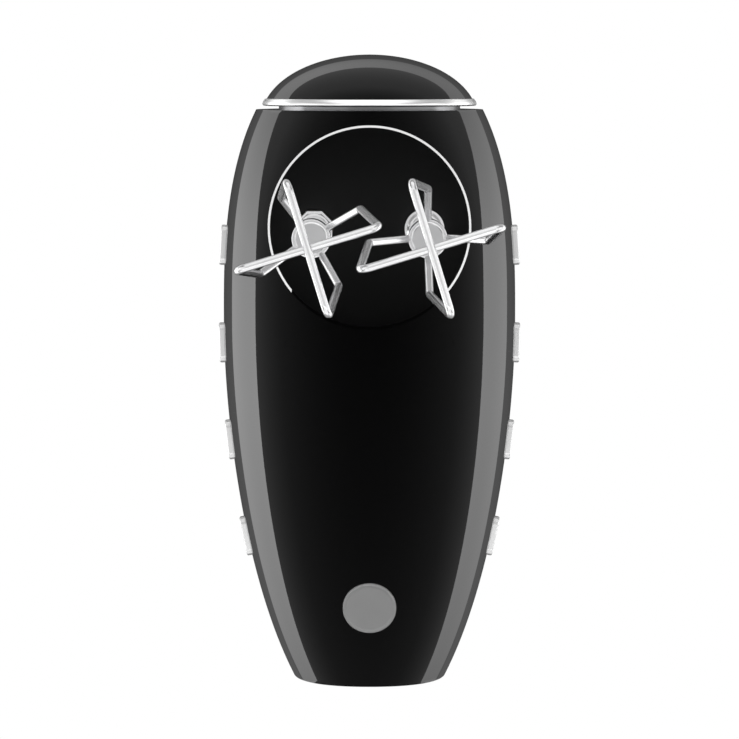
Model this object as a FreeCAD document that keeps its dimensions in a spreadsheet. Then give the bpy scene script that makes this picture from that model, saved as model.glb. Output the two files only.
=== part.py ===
# Retro hand mixer: housings, handle, controls, motor, worm drive, beaters and ejector.
# Frame: origin at the centre of the heel that the mixer stands on, +Z up to the nose,
# -Y the side that the beaters point to, +Y the handle side, +X to the right. Millimetres.
import FreeCAD, Part
import math
import os
import re

import Sketcher

V = FreeCAD.Vector
X_AXIS = V(1, 0, 0)
Y_AXIS = V(0, 1, 0)
Z_AXIS = V(0, 0, 1)

doc = FreeCAD.newDocument("hand_mixer")
sheet = doc.addObject("Spreadsheet::Sheet", "Sizes")

SIZES = {
    # plan outline of the body, seen along the beaters
    "body_top": 196.3, "widest_height": 123, "widest_half": 50.3, "heel_half": 26.5,
    "front_radius": 38.9, "side_power_low": 1.8, "side_power_high": 2.8,
    # depth of the body towards the beaters and towards the handle
    "belly_depth": 47, "belly_height": 122, "heel_depth": 25, "belly_power_low": 1.4,
    "belly_power_high": 2.2, "back_depth": 40, "back_height": 130, "back_power_low": 1.6,
    "fullness": 0.64, "fullness_round": 0.5523, "wall": 2.4, "parting": 8, "seat_gap": 0.05,
    # nose
    "neck_radius": 31.1, "neck_wall": 3, "ring_bottom": "=body_top + 1.3",
    "ring_top": "=ring_bottom + 1.9",
    "ring_radius": 36.8, "ring_round": 0.9, "dome_radius": 35.5, "dome_top": "=ring_top + 15.5",
    "dome_depth": 22, "dome_wall": 2.2, "spigot_length": 7, "neck_flange": 2.4,
    # socket plate and its boss
    "drive_height": 158, "socket_radius": 32.9, "trim_width": 0.7, "trim_depth": 2,
    "socket_face": 42, "plate_thickness": 2.5, "boss_wall": 2.6, "collar_wall": 2.6,
    # handle
    "handle_out": 90, "grip_low_out": "=handle_out - 6", "handle_high": 172, "handle_low": 12,
    "handle_half_width": 16, "handle_half_depth": 13, "handle_wall": 2.2, "grip_bend": 98,
    "corner_high": 20, "corner_low": 28, "passage_radius": 7.5,
    # drive
    "beater_spacing": 36, "worm_radius": 5, "wheel_teeth": 20,
    "tooth_module": "=(beater_spacing / 2 - worm_radius) * 2 / wheel_teeth",
    "wheel_width": 6, "drive_mid": -4, "spindle_radius": 5.5, "shaft_radius": 3,
    "running_gap": 0.05, "spindle_front": -40, "bush_wall": 2, "bush_length": 7,
    "wing_radius": 4.2, "wing_width": 1.4, "slot_gap": 0.2, "tooth_gap": 0.35,
    # gear case
    "case_half": 36, "case_low": 134, "case_high": 178, "case_front": -16, "case_back": 8,
    # motor
    "motor_mid": -4, "armature_radius": 16.4, "air_gap": 0.6, "stator_low": 68,
    "stator_high": 98, "stator_half_x": 29, "stator_half_y": 23, "motor_shaft_radius": 4,
    "shaft_low": 38, "bearing_radius": 8, "bearing_width": 5, "fan_radius": 21, "fan_low": 112,
    "fan_height": 14, "bolt_radius": 2, "bolt_offset": 25.5, "commutator_radius": 10,
    # beaters
    "collar_front": -52, "collar_back": -44, "collar_radius": 6.5, "octagon_across": 11.6,
    "hub_front": -105, "hub_back": -97, "hub_radius": 6, "wire_radius": 1.2,
    "shaft_end": -4, "upper_corner": -120, "rod_a": -157, "rod_step": 2.55,
    "corner_a": 16, "corner_b": 18.2, "tip_a": 20.5, "tip_b": 21.9, "wire_bend": 3,
    "rod_angle": 17, "arm_twist": 16,
    # ejector and controls
    "eject_travel": 6, "eject_height": 159.5, "eject_rod_height": 167, "eject_rod_radius": 1.8,
    "plate_back": 18, "eject_plate_thickness": 2.5, "pin_radius": 2.6, "moving_gap": 0.3,
    "button_half_x": 6, "button_half_z": 3.4, "button_proud": 1.2, "turbo_radius": 4.5,
    "panel_half_x": 9.5, "panel_low": 97, "panel_high": 148, "panel_proud": 0.6,
    "panel_thickness": 5, "board_thickness": 1.6,
    # heel, foot, side pieces, inlet and fasteners
    "heel_plate": 3, "foot_radius": 9, "foot_height": 29, "foot_thickness": 2.6,
    "foot_proud": 0.8, "bar_length": 13.8, "bar_width": 6, "bar_proud": 1.7, "bar_first": 48.4,
    "bar_pitch": 33.77, "inlet_radius": 6.5, "inlet_bore": 3.6, "inlet_length": 16,
    "inlet_height": 15, "screw_radius": 1.5, "screw_head": 2.9, "screw_head_depth": 2.2,
    "boss_radius": 4, "screw_clearance": 0.2, "boss_side": 33, "boss_low": 62, "boss_high": 186,
    "grip_screw_low": 42, "grip_screw_high": 84,
}
for row, (alias, value) in enumerate(SIZES.items(), start=1):
    sheet.set("A%d" % row, alias)
    sheet.set("B%d" % row, str(value))
    sheet.setAlias("B%d" % row, alias)
doc.recompute()


def s(alias):
    """A driving size, read from the sheet."""
    return float(sheet.get(alias))


parts = []


def keep(obj, label):
    """Name a finished sub-part and put it on the list to export."""
    obj.Label = label
    parts.append(obj)
    return obj


def feature(label, shape):
    """A sub-part whose shape is worked out from the sheet's values."""
    obj = doc.addObject("Part::Feature", label)
    obj.Shape = shape
    return keep(obj, label)


# ---------------------------------------------------------------- design-body helpers
def link(text):
    """An expression on the sheet, from one written with bare size names."""
    return re.sub(r"[a-z][a-z_]+", r"Sizes.\g<0>", text)


def number(text):
    """The value of an expression written with bare size names."""
    return float(sheet.evalExpression(link(text)))


def upright(x=0.0, y=0.0, z=0.0):
    """A placement that keeps the frame's own axes."""
    return FreeCAD.Placement(V(x, y, z), FreeCAD.Rotation())


def facing_back(x=0.0, y=0.0, z=0.0):
    """A placement whose own Z points to +Y and own X stays on X, so own Y points down."""
    return FreeCAD.Placement(V(x, y, z), FreeCAD.Rotation(X_AXIS, -90))


def design_body(label, placement):
    """A design body at its place; its sketches are drawn about its own origin."""
    body = doc.addObject("PartDesign::Body", label)
    body.Placement = placement
    return keep(body, label)


def sketch_on(body, role, lift="0"):
    """A sketch on one of the body's origin planes, lifted off it by a sheet expression."""
    sketch = body.newObject("Sketcher::SketchObject", "Sketch")
    plane = [f for f in body.Origin.OriginFeatures if f.Role == role][0]
    sketch.AttachmentSupport = [(plane, "")]
    sketch.MapMode = "FlatFace"
    sketch.setExpression("AttachmentOffset.Base.z", link(lift))
    return sketch


def pin_point(sketch, geometry, point, x_text, y_text):
    """Hold one sketch point at two sheet expressions from the sketch's origin."""
    for kind, text, axis in (("DistanceX", x_text, -2), ("DistanceY", y_text, -1)):
        size = number(text)
        if abs(size) < 1e-9:
            sketch.addConstraint(Sketcher.Constraint("PointOnObject", geometry, point, axis))
        else:
            held = Sketcher.Constraint(kind, -1, 1, geometry, point, size)
            index = sketch.addConstraint(held)
            sketch.setExpression("Constraints[%d]" % index, link(text))


def draw_circle(sketch, radius_text, x_text="0", y_text="0"):
    """A circle with its radius and centre bound to the sheet."""
    centre = V(number(x_text), number(y_text), 0)
    index = sketch.addGeometry(Part.Circle(centre, Z_AXIS, number(radius_text)), False)
    held = sketch.addConstraint(Sketcher.Constraint("Radius", index, number(radius_text)))
    sketch.setExpression("Constraints[%d]" % held, link(radius_text))
    pin_point(sketch, index, 3, x_text, y_text)


def draw_outline(sketch, corners):
    """A closed outline of straight sides; every corner is bound to the sheet."""
    spots = [V(number(x), number(y), 0) for x, y in corners]
    count = len(spots)
    first = sketch.GeometryCount
    for i in range(count):
        sketch.addGeometry(Part.LineSegment(spots[i], spots[(i + 1) % count]), False)
    for i in range(count):
        following = first + (i + 1) % count
        sketch.addConstraint(Sketcher.Constraint("Coincident", first + i, 2, following, 1))
        pin_point(sketch, first + i, 1, corners[i][0], corners[i][1])


def draw_rectangle(sketch, half_x, half_y, x="0", y="0"):
    """A rectangle about a centre, all from sheet expressions."""
    left, right = "(%s) - (%s)" % (x, half_x), "(%s) + (%s)" % (x, half_x)
    low, high = "(%s) - (%s)" % (y, half_y), "(%s) + (%s)" % (y, half_y)
    draw_outline(sketch, [(left, low), (right, low), (right, high), (left, high)])


def pad(body, sketch, length_text):
    """Grow the sketch along its normal."""
    grown = body.newObject("PartDesign::Pad", "Pad")
    grown.Profile = sketch
    grown.setExpression("Length", link(length_text))
    doc.recompute()
    return grown


def pocket(body, sketch, length_text):
    """Cut the sketch along its normal, on the side where the solid is."""
    before = body.Shape.Volume
    cutter = body.newObject("PartDesign::Pocket", "Pocket")
    cutter.Profile = sketch
    cutter.setExpression("Length", link(length_text))
    cutter.Reversed = True
    doc.recompute()
    if body.Shape.Volume > before - 1e-6:
        raise RuntimeError("a pocket of %s cut nothing" % body.Label)
    return cutter


def turn(body, sketch):
    """Turn the sketch about its own vertical axis."""
    turned = body.newObject("PartDesign::Revolution", "Revolution")
    turned.Profile = sketch
    turned.ReferenceAxis = (sketch, ["V_Axis"])
    turned.Angle = 360
    doc.recompute()
    return turned


def repeat_round(body, original, sketch, count):
    """Repeat a feature evenly about the sketch's normal."""
    pattern = body.newObject("PartDesign::PolarPattern", "PolarPattern")
    pattern.Originals = [original]
    pattern.Axis = (sketch, ["N_Axis"])
    pattern.Angle = 360
    pattern.Occurrences = count
    body.Tip = pattern
    doc.recompute()
    return pattern


# ---------------------------------------------------------------- plain shape helpers
def cylinder(radius, start, end, x=0.0, y=0.0, z=0.0, axis="y"):
    """A cylinder along one frame axis, from start to end on that axis."""
    low, high = min(start, end), max(start, end)
    if axis == "y":
        return Part.makeCylinder(radius, high - low, V(x, low, z), Y_AXIS)
    if axis == "z":
        return Part.makeCylinder(radius, high - low, V(x, y, low), Z_AXIS)
    return Part.makeCylinder(radius, high - low, V(low, y, z), X_AXIS)


def box(x0, x1, y0, y1, z0, z1):
    """A box between two corners."""
    return Part.makeBox(x1 - x0, y1 - y0, z1 - z0, V(x0, y0, z0))


def rounded_box(x0, x1, y0, y1, z0, z1, radius, along):
    """A box whose four edges along one axis are rounded."""
    solid = box(x0, x1, y0, y1, z0, z1)
    edges = [e for e in solid.Edges if abs(e.tangentAt(e.FirstParameter).dot(along)) > 0.99]
    return solid.makeFillet(radius, edges)


def tube(outer, inner, start, end, **place):
    """A tube along one frame axis."""
    return cylinder(outer, start, end, **place).cut(cylinder(inner, start, end, **place))


def fuse(shapes):
    """One shape from several that touch or overlap."""
    joined = shapes[0].multiFuse(shapes[1:])
    return joined.removeSplitter()


def polygon_face(points):
    """A flat face from corner points."""
    return Part.Face(Part.makePolygon(points + [points[0]]))


def revolve(points, centre, axis):
    """A solid turned about an axis from a closed half outline of straight sides."""
    return polygon_face(points).revolve(centre, axis, 360)


# ---------------------------------------------------------------- body outline
def swell(z, middle, z_low, z_mid, z_high, size_low, size_high, power_low, power_high):
    """Half size of the body at height z: a rounded swell from both ends to its widest height."""
    if z < z_mid:
        share, end, power = (z_mid - z) / (z_mid - z_low), size_low, power_low
    else:
        share, end, power = (z - z_mid) / (z_high - z_mid), size_high, power_high
    return middle * math.sqrt(1 - (1 - (end / middle) ** 2) * share ** power)


def half_width(z):
    return swell(z, s("widest_half"), 0, s("widest_height"), s("body_top"), s("heel_half"),
                 s("front_radius"), s("side_power_low"), s("side_power_high"))


def front_depth(z):
    return swell(z, s("belly_depth"), 0, s("belly_height"), s("body_top"), s("heel_depth"),
                 s("front_radius"), s("belly_power_low"), s("belly_power_high"))


def back_depth(z):
    return swell(z, s("back_depth"), 0, s("back_height"), s("body_top"), s("heel_depth"),
                 s("front_radius"), s("back_power_low"), s("belly_power_high"))


def section_wire(z, inset):
    """The body's outline at height z: four quarter curves, fuller than an ellipse below the nose."""
    a = half_width(z) - inset
    front = front_depth(z) - inset
    back = back_depth(z) - inset
    share = max(0.0, z - s("widest_height")) / (s("body_top") - s("widest_height"))
    k = s("fullness") + (s("fullness_round") - s("fullness")) * share ** 2
    ends = [(a, -front), (-a, -front), (-a, back), (a, back)]
    edges = []
    for index, (px, py) in enumerate(ends):
        poles = [V(px, 0, z), V(px, k * py, z), V(k * px, py, z), V(0, py, z)]
        if index % 2:
            poles.reverse()
        curve = Part.BezierCurve()
        curve.setPoles(poles)
        edges.append(curve.toShape())
    return Part.Wire(edges)


def body_solid(inset=0.0, low=0.0, high=None, stations=10):
    """The closed body form, all sides moved in by inset, between two heights."""
    top = s("body_top") if high is None else high
    heights = [low + (top - low) * (1 - math.cos(math.pi * i / stations)) / 2
               for i in range(stations + 1)]
    return Part.makeLoft([section_wire(z, inset) for z in heights], True, False)


outer_body = body_solid()
inner_body = body_solid(s("wall"), 0.0, s("body_top") - s("wall"))
if not outer_body.isValid() or not inner_body.isValid():
    raise RuntimeError("the body form is not valid")


# ---------------------------------------------------------------- handle outline
def rounded_path(points, radii):
    """Straight runs joined by tangent arcs, as one wire; radii belong to the inner points."""
    edges = []
    start = points[0]
    for i, radius in enumerate(radii, start=1):
        corner = points[i]
        back = (points[i - 1] - corner).normalize()
        ahead = (points[i + 1] - corner).normalize()
        half = math.acos(max(-1.0, min(1.0, back.dot(ahead)))) / 2
        reach = radius / math.tan(half)
        first = corner + back * reach
        last = corner + ahead * reach
        bisector = (back + ahead).normalize()
        centre = corner + bisector * (radius / math.sin(half))
        middle = centre - bisector * radius
        edges.append(Part.LineSegment(start, first).toShape())
        edges.append(Part.Arc(first, middle, last).toShape())
        start = last
    edges.append(Part.LineSegment(start, points[-1]).toShape())
    return Part.Wire(edges)


HANDLE_ROOT = 18.0
handle_points = [V(0, HANDLE_ROOT, s("handle_high")), V(0, s("handle_out"), s("handle_high")),
                 V(0, s("handle_out"), s("grip_bend")), V(0, s("grip_low_out"), s("handle_low")),
                 V(0, HANDLE_ROOT, s("handle_low"))]
handle_path = rounded_path(handle_points, [s("corner_high"), 260.0, s("corner_low")])


def handle_section(inset):
    """The handle's rounded cross-section at the start of its path."""
    a = s("handle_half_width") - inset
    b = s("handle_half_depth") - inset
    k = s("fullness")
    y, z = HANDLE_ROOT, s("handle_high")
    corners = [(a, b), (-a, b), (-a, -b), (a, -b)]
    edges = []
    for index, (px, pz) in enumerate(corners):
        poles = [V(px, y, z), V(px, y, z + k * pz), V(k * px, y, z + pz), V(0, y, z + pz)]
        if index % 2:
            poles.reverse()
        curve = Part.BezierCurve()
        curve.setPoles(poles)
        edges.append(curve.toShape())
    return Part.Wire(edges)


def sweep(path, section):
    """A solid swept along a smooth path."""
    solid = path.makePipeShell([section], True, False)
    if not solid.isValid():
        raise RuntimeError("a sweep is not valid")
    return solid


BIG = 400.0
above_floor = box(-BIG, BIG, -BIG, BIG, 0, BIG)
handle_outer = sweep(handle_path, handle_section(0.0)).common(above_floor).cut(outer_body)
handle_inner = sweep(handle_path, handle_section(s("handle_wall")))
handle_inner = handle_inner.common(box(-BIG, BIG, -BIG, BIG, s("handle_wall"), BIG))


def handle_outside():
    """The space on the outer side of the handle's middle line."""
    first = handle_points[0]
    last = handle_points[-1]
    border = [last, V(0, HANDLE_ROOT, -60), V(0, BIG, -60), V(0, BIG, BIG),
              V(0, HANDLE_ROOT, BIG), first]
    lines = [Part.LineSegment(border[i], border[i + 1]).toShape() for i in range(len(border) - 1)]
    face = Part.Face(Part.Wire(handle_path.Edges + lines))
    face.translate(V(-60, 0, 0))
    return face.extrude(V(120, 0, 0))


outside = handle_outside()
handle_shell = handle_outer.cut(handle_inner)


# ---------------------------------------------------------------- socket plate and its trim
face = -s("socket_face")
drive_z = s("drive_height")
boss_outer = s("socket_radius") + s("trim_width")
half_spacing = s("beater_spacing") / 2


def socket_plate():
    """Round plate that closes the boss, with a hole for each spindle."""
    body = design_body("socket_plate", facing_back(0, face, drive_z))
    disc = sketch_on(body, "XY_Plane")
    draw_circle(disc, "socket_radius")
    pad(body, disc, "plate_thickness")
    holes = sketch_on(body, "XY_Plane")
    for side in ("-", ""):
        draw_circle(holes, "spindle_radius + moving_gap * 2", side + "beater_spacing / 2")
    pocket(body, holes, "plate_thickness")


def socket_trim():
    """Bright ring on the boss's rim, only where the boss stands out of the body."""
    ring = tube(boss_outer, s("socket_radius"), face, face + s("trim_depth"), z=drive_z)
    return feature("socket_trim", ring.cut(outer_body)).Shape


socket_plate()
trim = socket_trim()


# ---------------------------------------------------------------- foot disc and its seat
def surface_point(z):
    """The point of the belly's middle line at height z, and the outward normal there."""
    step = 0.1
    slope = (front_depth(z + step) - front_depth(z - step)) / (2 * step)
    normal = V(0, -1, -slope)
    normal.normalize()
    return V(0, -front_depth(z), z), normal


foot_point, foot_normal = surface_point(s("foot_height"))
foot_base = foot_point - foot_normal * (s("foot_thickness") - s("foot_proud"))
foot_edge = 0.4
foot = Part.makeCylinder(s("foot_radius"), s("foot_thickness"), foot_base, foot_normal)
foot_rim = [e for e in foot.Edges if len(e.Vertexes) == 1
            and (e.CenterOfMass - foot_base).dot(foot_normal) > s("foot_thickness") / 2]
feature("foot_disc", foot.makeChamfer(foot_edge, foot_rim))
foot_seat = Part.makeCylinder(s("foot_radius") + s("seat_gap"), 20, foot_base, foot_normal)
foot_backing = Part.makeCylinder(s("foot_radius") + s("wall"), 8, foot_base, foot_normal * -1)
foot_backing = foot_backing.common(box(-BIG, BIG, foot_base.y - 2, foot_base.y + s("wall"), 0, BIG))


# ---------------------------------------------------------------- housings
screw_places = [(side * s("boss_side"), height)
                for height in (s("boss_low"), s("boss_high")) for side in (-1, 1)]
parting = s("parting")
SCREW_STAND = 5.0
SCREW_GRIP = 9.0
foot_screw_top = foot_base.y + 1.6


def screw(x, z, head_y, direction, length):
    """A screw along Y: its head's underside at head_y, its shank going along direction."""
    shank = cylinder(s("screw_radius"), head_y, head_y + direction * length, x=x, z=z)
    head = cylinder(s("screw_head"), head_y, head_y - direction * s("screw_head_depth"), x=x, z=z)
    recess = s("screw_radius") * 0.9
    top = head_y - direction * s("screw_head_depth")
    drive = cylinder(recess, top, top + direction * s("screw_head_depth") * 0.6, x=x, z=z)
    return shank.fuse(head).cut(drive)


def ribs():
    """Ribs on the inner side walls that hold the gear case."""
    pieces = []
    for side in (-1, 1):
        for height in (drive_z - 10, drive_z + 10):
            near, far = side * s("case_half"), side * BIG
            pieces.append(box(min(near, far), max(near, far), s("case_front") + 2,
                              s("drive_mid") - 1, height - 1.5, height + 1.5).common(outer_body))
    return pieces


def body_shell():
    """The thin shell of both halves, open at the heel and at the neck."""
    shell = outer_body.cut(inner_body)
    top = s("body_top")
    neck_hole = cylinder(s("neck_radius") + s("seat_gap"), top - s("wall") - 1, top + 1, axis="z")
    return shell.cut(neck_hole)


def lower_housing(shell):
    """The belly shell, with the socket boss, foot seat, screw bosses and ribs."""
    front_half = box(-BIG, BIG, -BIG, parting, -1, BIG)
    boss = tube(boss_outer, boss_outer - s("boss_wall"), face, face + 12, z=drive_z)
    collar = tube(boss_outer + s("collar_wall"), boss_outer, face - 8, face + 8, z=drive_z)
    added = [boss, collar.common(outer_body), foot_backing] + ribs()
    for x, z in screw_places:
        added.append(cylinder(s("boss_radius"), -BIG / 4, parting, x=x, z=z).common(outer_body))
    added.append(cylinder(s("boss_radius"), foot_screw_top, parting, z=s("foot_height")))
    solid = fuse([shell.common(front_half)] + added)
    cuts = [cylinder(boss_outer, face - 20, face, z=drive_z),
            cylinder(boss_outer - s("boss_wall"), face - 1, face + 12, z=drive_z),
            cylinder(s("socket_radius"), face, face + s("plate_thickness"), z=drive_z),
            trim, foot_seat]
    for x, z in screw_places:
        cuts.append(cylinder(s("screw_radius"), parting - SCREW_GRIP - 1, parting, x=x, z=z))
    neck_seat = s("body_top") - s("wall")
    cuts.append(cylinder(s("neck_radius") + 2 + s("seat_gap"), neck_seat - s("neck_flange") - 0.1,
                         neck_seat, axis="z"))
    head_end = foot_screw_top + s("screw_head_depth")
    cuts.append(cylinder(s("screw_head") + s("screw_clearance"), face, head_end,
                         z=s("foot_height")))
    cuts.append(cylinder(s("screw_radius") + s("screw_clearance"), face, parting,
                         z=s("foot_height")))
    for cutter in cuts:
        solid = solid.cut(cutter)
    return feature("lower_housing", solid)


def vent_slots():
    """Air slots on the handle side, two groups: over the brushes and beside the fan."""
    slots = []
    half_length, width, pitch = 11.0, 2.0, 4.5
    for start in (s("shaft_low") + 8, s("fan_low") - 6):
        for i in range(6):
            z = start + i * pitch
            slots.append(box(-half_length, half_length, parting + 5, BIG, z, z + width))
    return slots


def upper_housing(shell):
    """The handle-side shell, with screw bosses, cable passages and air slots."""
    rear_half = box(-BIG, BIG, parting, BIG, -1, BIG)
    added = []
    for x, z in screw_places:
        added.append(cylinder(s("boss_radius"), parting, BIG / 4, x=x, z=z).common(outer_body))
    foot_boss = cylinder(s("boss_radius"), parting, BIG / 4, z=s("foot_height"))
    solid = fuse([shell.common(rear_half), foot_boss.common(outer_body)] + added)
    cuts = vent_slots()
    head_radius = s("screw_head") + s("screw_clearance")
    for x, z in screw_places:
        cuts.append(cylinder(head_radius, parting + SCREW_STAND, BIG / 4, x=x, z=z))
        cuts.append(cylinder(s("screw_radius") + s("screw_clearance"), parting, BIG / 4, x=x, z=z))
    cuts.append(cylinder(s("screw_radius"), parting, parting + 12, z=s("foot_height")))
    cuts.append(cylinder(s("passage_radius"), parting + 5, BIG / 4, z=s("handle_high")))
    cuts.append(cylinder(s("passage_radius"), parting + 5, BIG / 4, z=s("handle_low")))
    for cutter in cuts:
        solid = solid.cut(cutter)
    return feature("upper_housing", solid)


def housing_screws():
    """Four screws from the handle side and a long one hidden under the foot disc."""
    pieces = [screw(x, z, parting + SCREW_STAND, -1, SCREW_STAND + SCREW_GRIP)
              for x, z in screw_places]
    head_y = foot_screw_top + s("screw_head_depth")
    pieces.append(screw(0, s("foot_height"), head_y, 1, parting + 11 - head_y))
    return feature("housing_screws", Part.makeCompound(pieces))


shell = body_shell()
lower_housing(shell)
upper_housing(shell)
housing_screws()
heel = body_solid(s("wall") + s("seat_gap"), 0.0, s("heel_plate"), 2)
feature("heel_plate", heel)


def side_bars(name, side):
    """Four plain rounded bars along the widest line of one flank."""
    pieces = []
    for i in range(4):
        z = s("bar_first") + i * s("bar_pitch")
        step = 1.0
        lean = math.degrees(math.atan((half_width(z + step) - half_width(z - step)) / (2 * step)))
        depth = 4.0
        bar = rounded_box(-depth, s("bar_proud"), -s("bar_width") / 2, s("bar_width") / 2,
                          -s("bar_length") / 2, s("bar_length") / 2, 2.4, X_AXIS)
        crown = [e for e in bar.Edges if abs(e.CenterOfMass.x - s("bar_proud")) < 1e-6]
        bar = bar.makeFillet(0.5, crown)
        bar.rotate(V(0, 0, 0), Y_AXIS, lean)
        bar.translate(V(half_width(z), 0, z))
        if side < 0:
            bar = bar.mirror(V(0, 0, 0), X_AXIS)
        pieces.append(bar.cut(outer_body))
    return feature(name, Part.makeCompound(pieces))


side_bars("side_bars_left", -1)
side_bars("side_bars_right", 1)


# ---------------------------------------------------------------- nose
def nose_neck():
    """Dark neck between the body and the trim ring, with a flange that the housings hold."""
    body = design_body("nose_neck", upright())
    outline = sketch_on(body, "XZ_Plane")
    low = "body_top - wall - neck_flange"
    draw_outline(outline, [("neck_radius - neck_wall", low), ("neck_radius + 2", low),
                           ("neck_radius + 2", "body_top - wall"), ("neck_radius", "body_top - wall"),
                           ("neck_radius", "ring_bottom"), ("neck_radius - neck_wall", "ring_bottom")])
    turn(body, outline)


def nose_trim_ring():
    """Polished ring, a little narrower at its upper edge."""
    body = design_body("nose_trim_ring", upright())
    outline = sketch_on(body, "XZ_Plane")
    inner = "neck_radius - neck_wall"
    draw_outline(outline, [(inner, "ring_bottom"), ("ring_radius - 0.3", "ring_bottom"),
                           ("ring_radius", "ring_bottom + 0.35"), ("ring_radius", "ring_top - 0.8"),
                           ("ring_radius - ring_round", "ring_top"), (inner, "ring_top")])
    turn(body, outline)


def nose_cap():
    """Domed cap: part of an ellipse turned about Z, hollow, with a spigot inside the neck."""
    base, top = s("ring_top"), s("dome_top")
    centre = top - s("dome_depth")
    reach = s("dome_radius") / math.sqrt(1 - ((base - centre) / s("dome_depth")) ** 2)

    def dome(shrink):
        wide, tall = reach - shrink, s("dome_depth") - shrink
        start = math.asin(min(0.999, (base - centre) / tall))
        steps = 16
        rim = [V(wide * math.cos(a), 0, centre + tall * math.sin(a))
               for a in [start + (math.pi / 2 - start) * i / steps for i in range(steps + 1)]]
        rim[-1] = V(0, 0, centre + tall)
        curve = Part.BSplineCurve()
        curve.interpolate(rim)
        outline = [curve.toShape(), Part.makeLine(rim[-1], V(0, 0, base)),
                   Part.makeLine(V(0, 0, base), rim[0])]
        return Part.Face(Part.Wire(outline)).revolve(V(0, 0, 0), Z_AXIS, 360)

    spigot_radius = s("neck_radius") - s("neck_wall") - s("seat_gap")
    spigot = tube(spigot_radius, spigot_radius - s("dome_wall"), base - s("spigot_length"), base,
                  axis="z")
    floor = tube(s("dome_radius") - s("dome_wall") / 2, spigot_radius - s("dome_wall"), base,
                 base + s("dome_wall"), axis="z")
    return feature("nose_cap", fuse([dome(0.0).cut(dome(s("dome_wall"))), floor, spigot]))


nose_neck()
nose_trim_ring()
nose_cap()


# ---------------------------------------------------------------- handle
out_y = s("handle_out")
panel_y = out_y + s("handle_half_depth") + s("panel_proud")
panel_under = panel_y - s("panel_thickness")
eject_z = s("eject_height")
EJECT_HALF_X = 8.0
EJECT_HALF_Z = 8.5
gap = s("moving_gap")


def grip_middle(z):
    """Distance out to the handle's middle line on its sloping lower run."""
    share = (s("grip_bend") - z) / (s("grip_bend") - s("handle_low"))
    return out_y - (out_y - s("grip_low_out")) * share


handle_screw_heights = (s("grip_screw_low"), s("grip_screw_high"))


def handle_post(z):
    """A round post across the handle's hollow at height z."""
    return cylinder(s("boss_radius"), out_y / 2, BIG / 4 + out_y, z=z).common(handle_outer)


def handle_grip():
    """Inner half of the handle, with the screw holes."""
    posts = [handle_post(z).cut(outside) for z in handle_screw_heights]
    solid = fuse([handle_shell.cut(outside)] + posts)
    for z in handle_screw_heights:
        inner_face = grip_middle(z) - s("handle_half_depth")
        solid = solid.cut(cylinder(s("screw_head") + s("screw_clearance"), inner_face - 5,
                                   inner_face + 4, z=z))
        solid = solid.cut(cylinder(s("screw_radius") + s("screw_clearance"), inner_face,
                                   grip_middle(z) + 2, z=z))
    return feature("handle_grip", solid)


def handle_cover():
    """Outer half of the handle, cut for the control panel, eject button and cord inlet."""
    posts = [handle_post(z).common(outside) for z in handle_screw_heights]
    solid = fuse([handle_shell.common(outside)] + posts)
    fit = s("seat_gap")
    panel_hole = rounded_box(-s("panel_half_x") - fit, s("panel_half_x") + fit, out_y, BIG,
                             s("panel_low") - fit, s("panel_high") + fit, 4.0, Y_AXIS)
    eject_hole = rounded_box(-EJECT_HALF_X - gap, EJECT_HALF_X + gap, out_y - 8, BIG,
                             eject_z - EJECT_HALF_Z - gap, eject_z + EJECT_HALF_Z + gap, 3.0,
                             Y_AXIS)
    inlet_hole = cylinder(s("inlet_radius"), out_y - 16, BIG / 4 + out_y, z=s("inlet_height"))
    for cutter in (panel_hole, eject_hole, inlet_hole):
        solid = solid.cut(cutter)
    for z in handle_screw_heights:
        solid = solid.cut(cylinder(s("screw_radius"), grip_middle(z) - 2, grip_middle(z) + 8, z=z))
    return feature("handle_cover", solid)


def handle_screws():
    """Two screws that pull the grip and the cover together."""
    pieces = []
    for z in handle_screw_heights:
        head_y = grip_middle(z) - s("handle_half_depth") + 4
        pieces.append(screw(0, z, head_y, 1, s("handle_half_depth") + 3))
    return feature("handle_screws", Part.makeCompound(pieces))


def cord_inlet():
    """Bush in the handle's lower corner that a mains cord would leave through."""
    start = out_y - 11
    end = start + s("inlet_length")
    z = s("inlet_height")
    bush = tube(s("inlet_radius"), s("inlet_bore"), start, end, z=z)
    return feature("cord_inlet", bush)


handle_grip()
handle_cover()
handle_screws()
cord_inlet()

# ---------------------------------------------------------------- controls
DISPLAY = {"z": 139.0, "half_x": 7.0, "half_z": 6.5}
UP_Z, DOWN_Z, TURBO_Z = 126.5, 117.5, 105.5
FLANGE = 0.8
POST = {"x": 7.4, "radius": 1.0, "from_end": 2.2}
board_front = panel_under - 5.0
board_back = board_front - s("board_thickness")
flange_low = panel_under - gap - 1.8


def control_panel():
    """Plate on the handle with openings for the display and the three buttons."""
    solid = rounded_box(-s("panel_half_x"), s("panel_half_x"), panel_under, panel_y,
                        s("panel_low"), s("panel_high"), 4.0, Y_AXIS)
    rim = [e for e in solid.Edges if abs(e.CenterOfMass.y - panel_y) < 1e-6]
    solid = solid.makeFillet(0.5, rim)
    solid = solid.cut(box(-DISPLAY["half_x"], DISPLAY["half_x"], panel_under, panel_y,
                          DISPLAY["z"] - DISPLAY["half_z"], DISPLAY["z"] + DISPLAY["half_z"]))
    half_x, half_z = s("button_half_x") + gap, s("button_half_z") + gap
    for z in (UP_Z, DOWN_Z):
        solid = solid.cut(rounded_box(-half_x, half_x, panel_under, panel_y, z - half_z,
                                      z + half_z, 1.8, Y_AXIS))
    solid = solid.cut(cylinder(s("turbo_radius") + gap, panel_under, panel_y, z=TURBO_Z))
    posts = [cylinder(POST["radius"], board_front, panel_under + 1, x=x, z=z)
             for x in (-POST["x"], POST["x"])
             for z in (s("panel_low") + POST["from_end"], s("panel_high") - POST["from_end"])]
    return feature("control_panel", fuse([solid] + posts))


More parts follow.
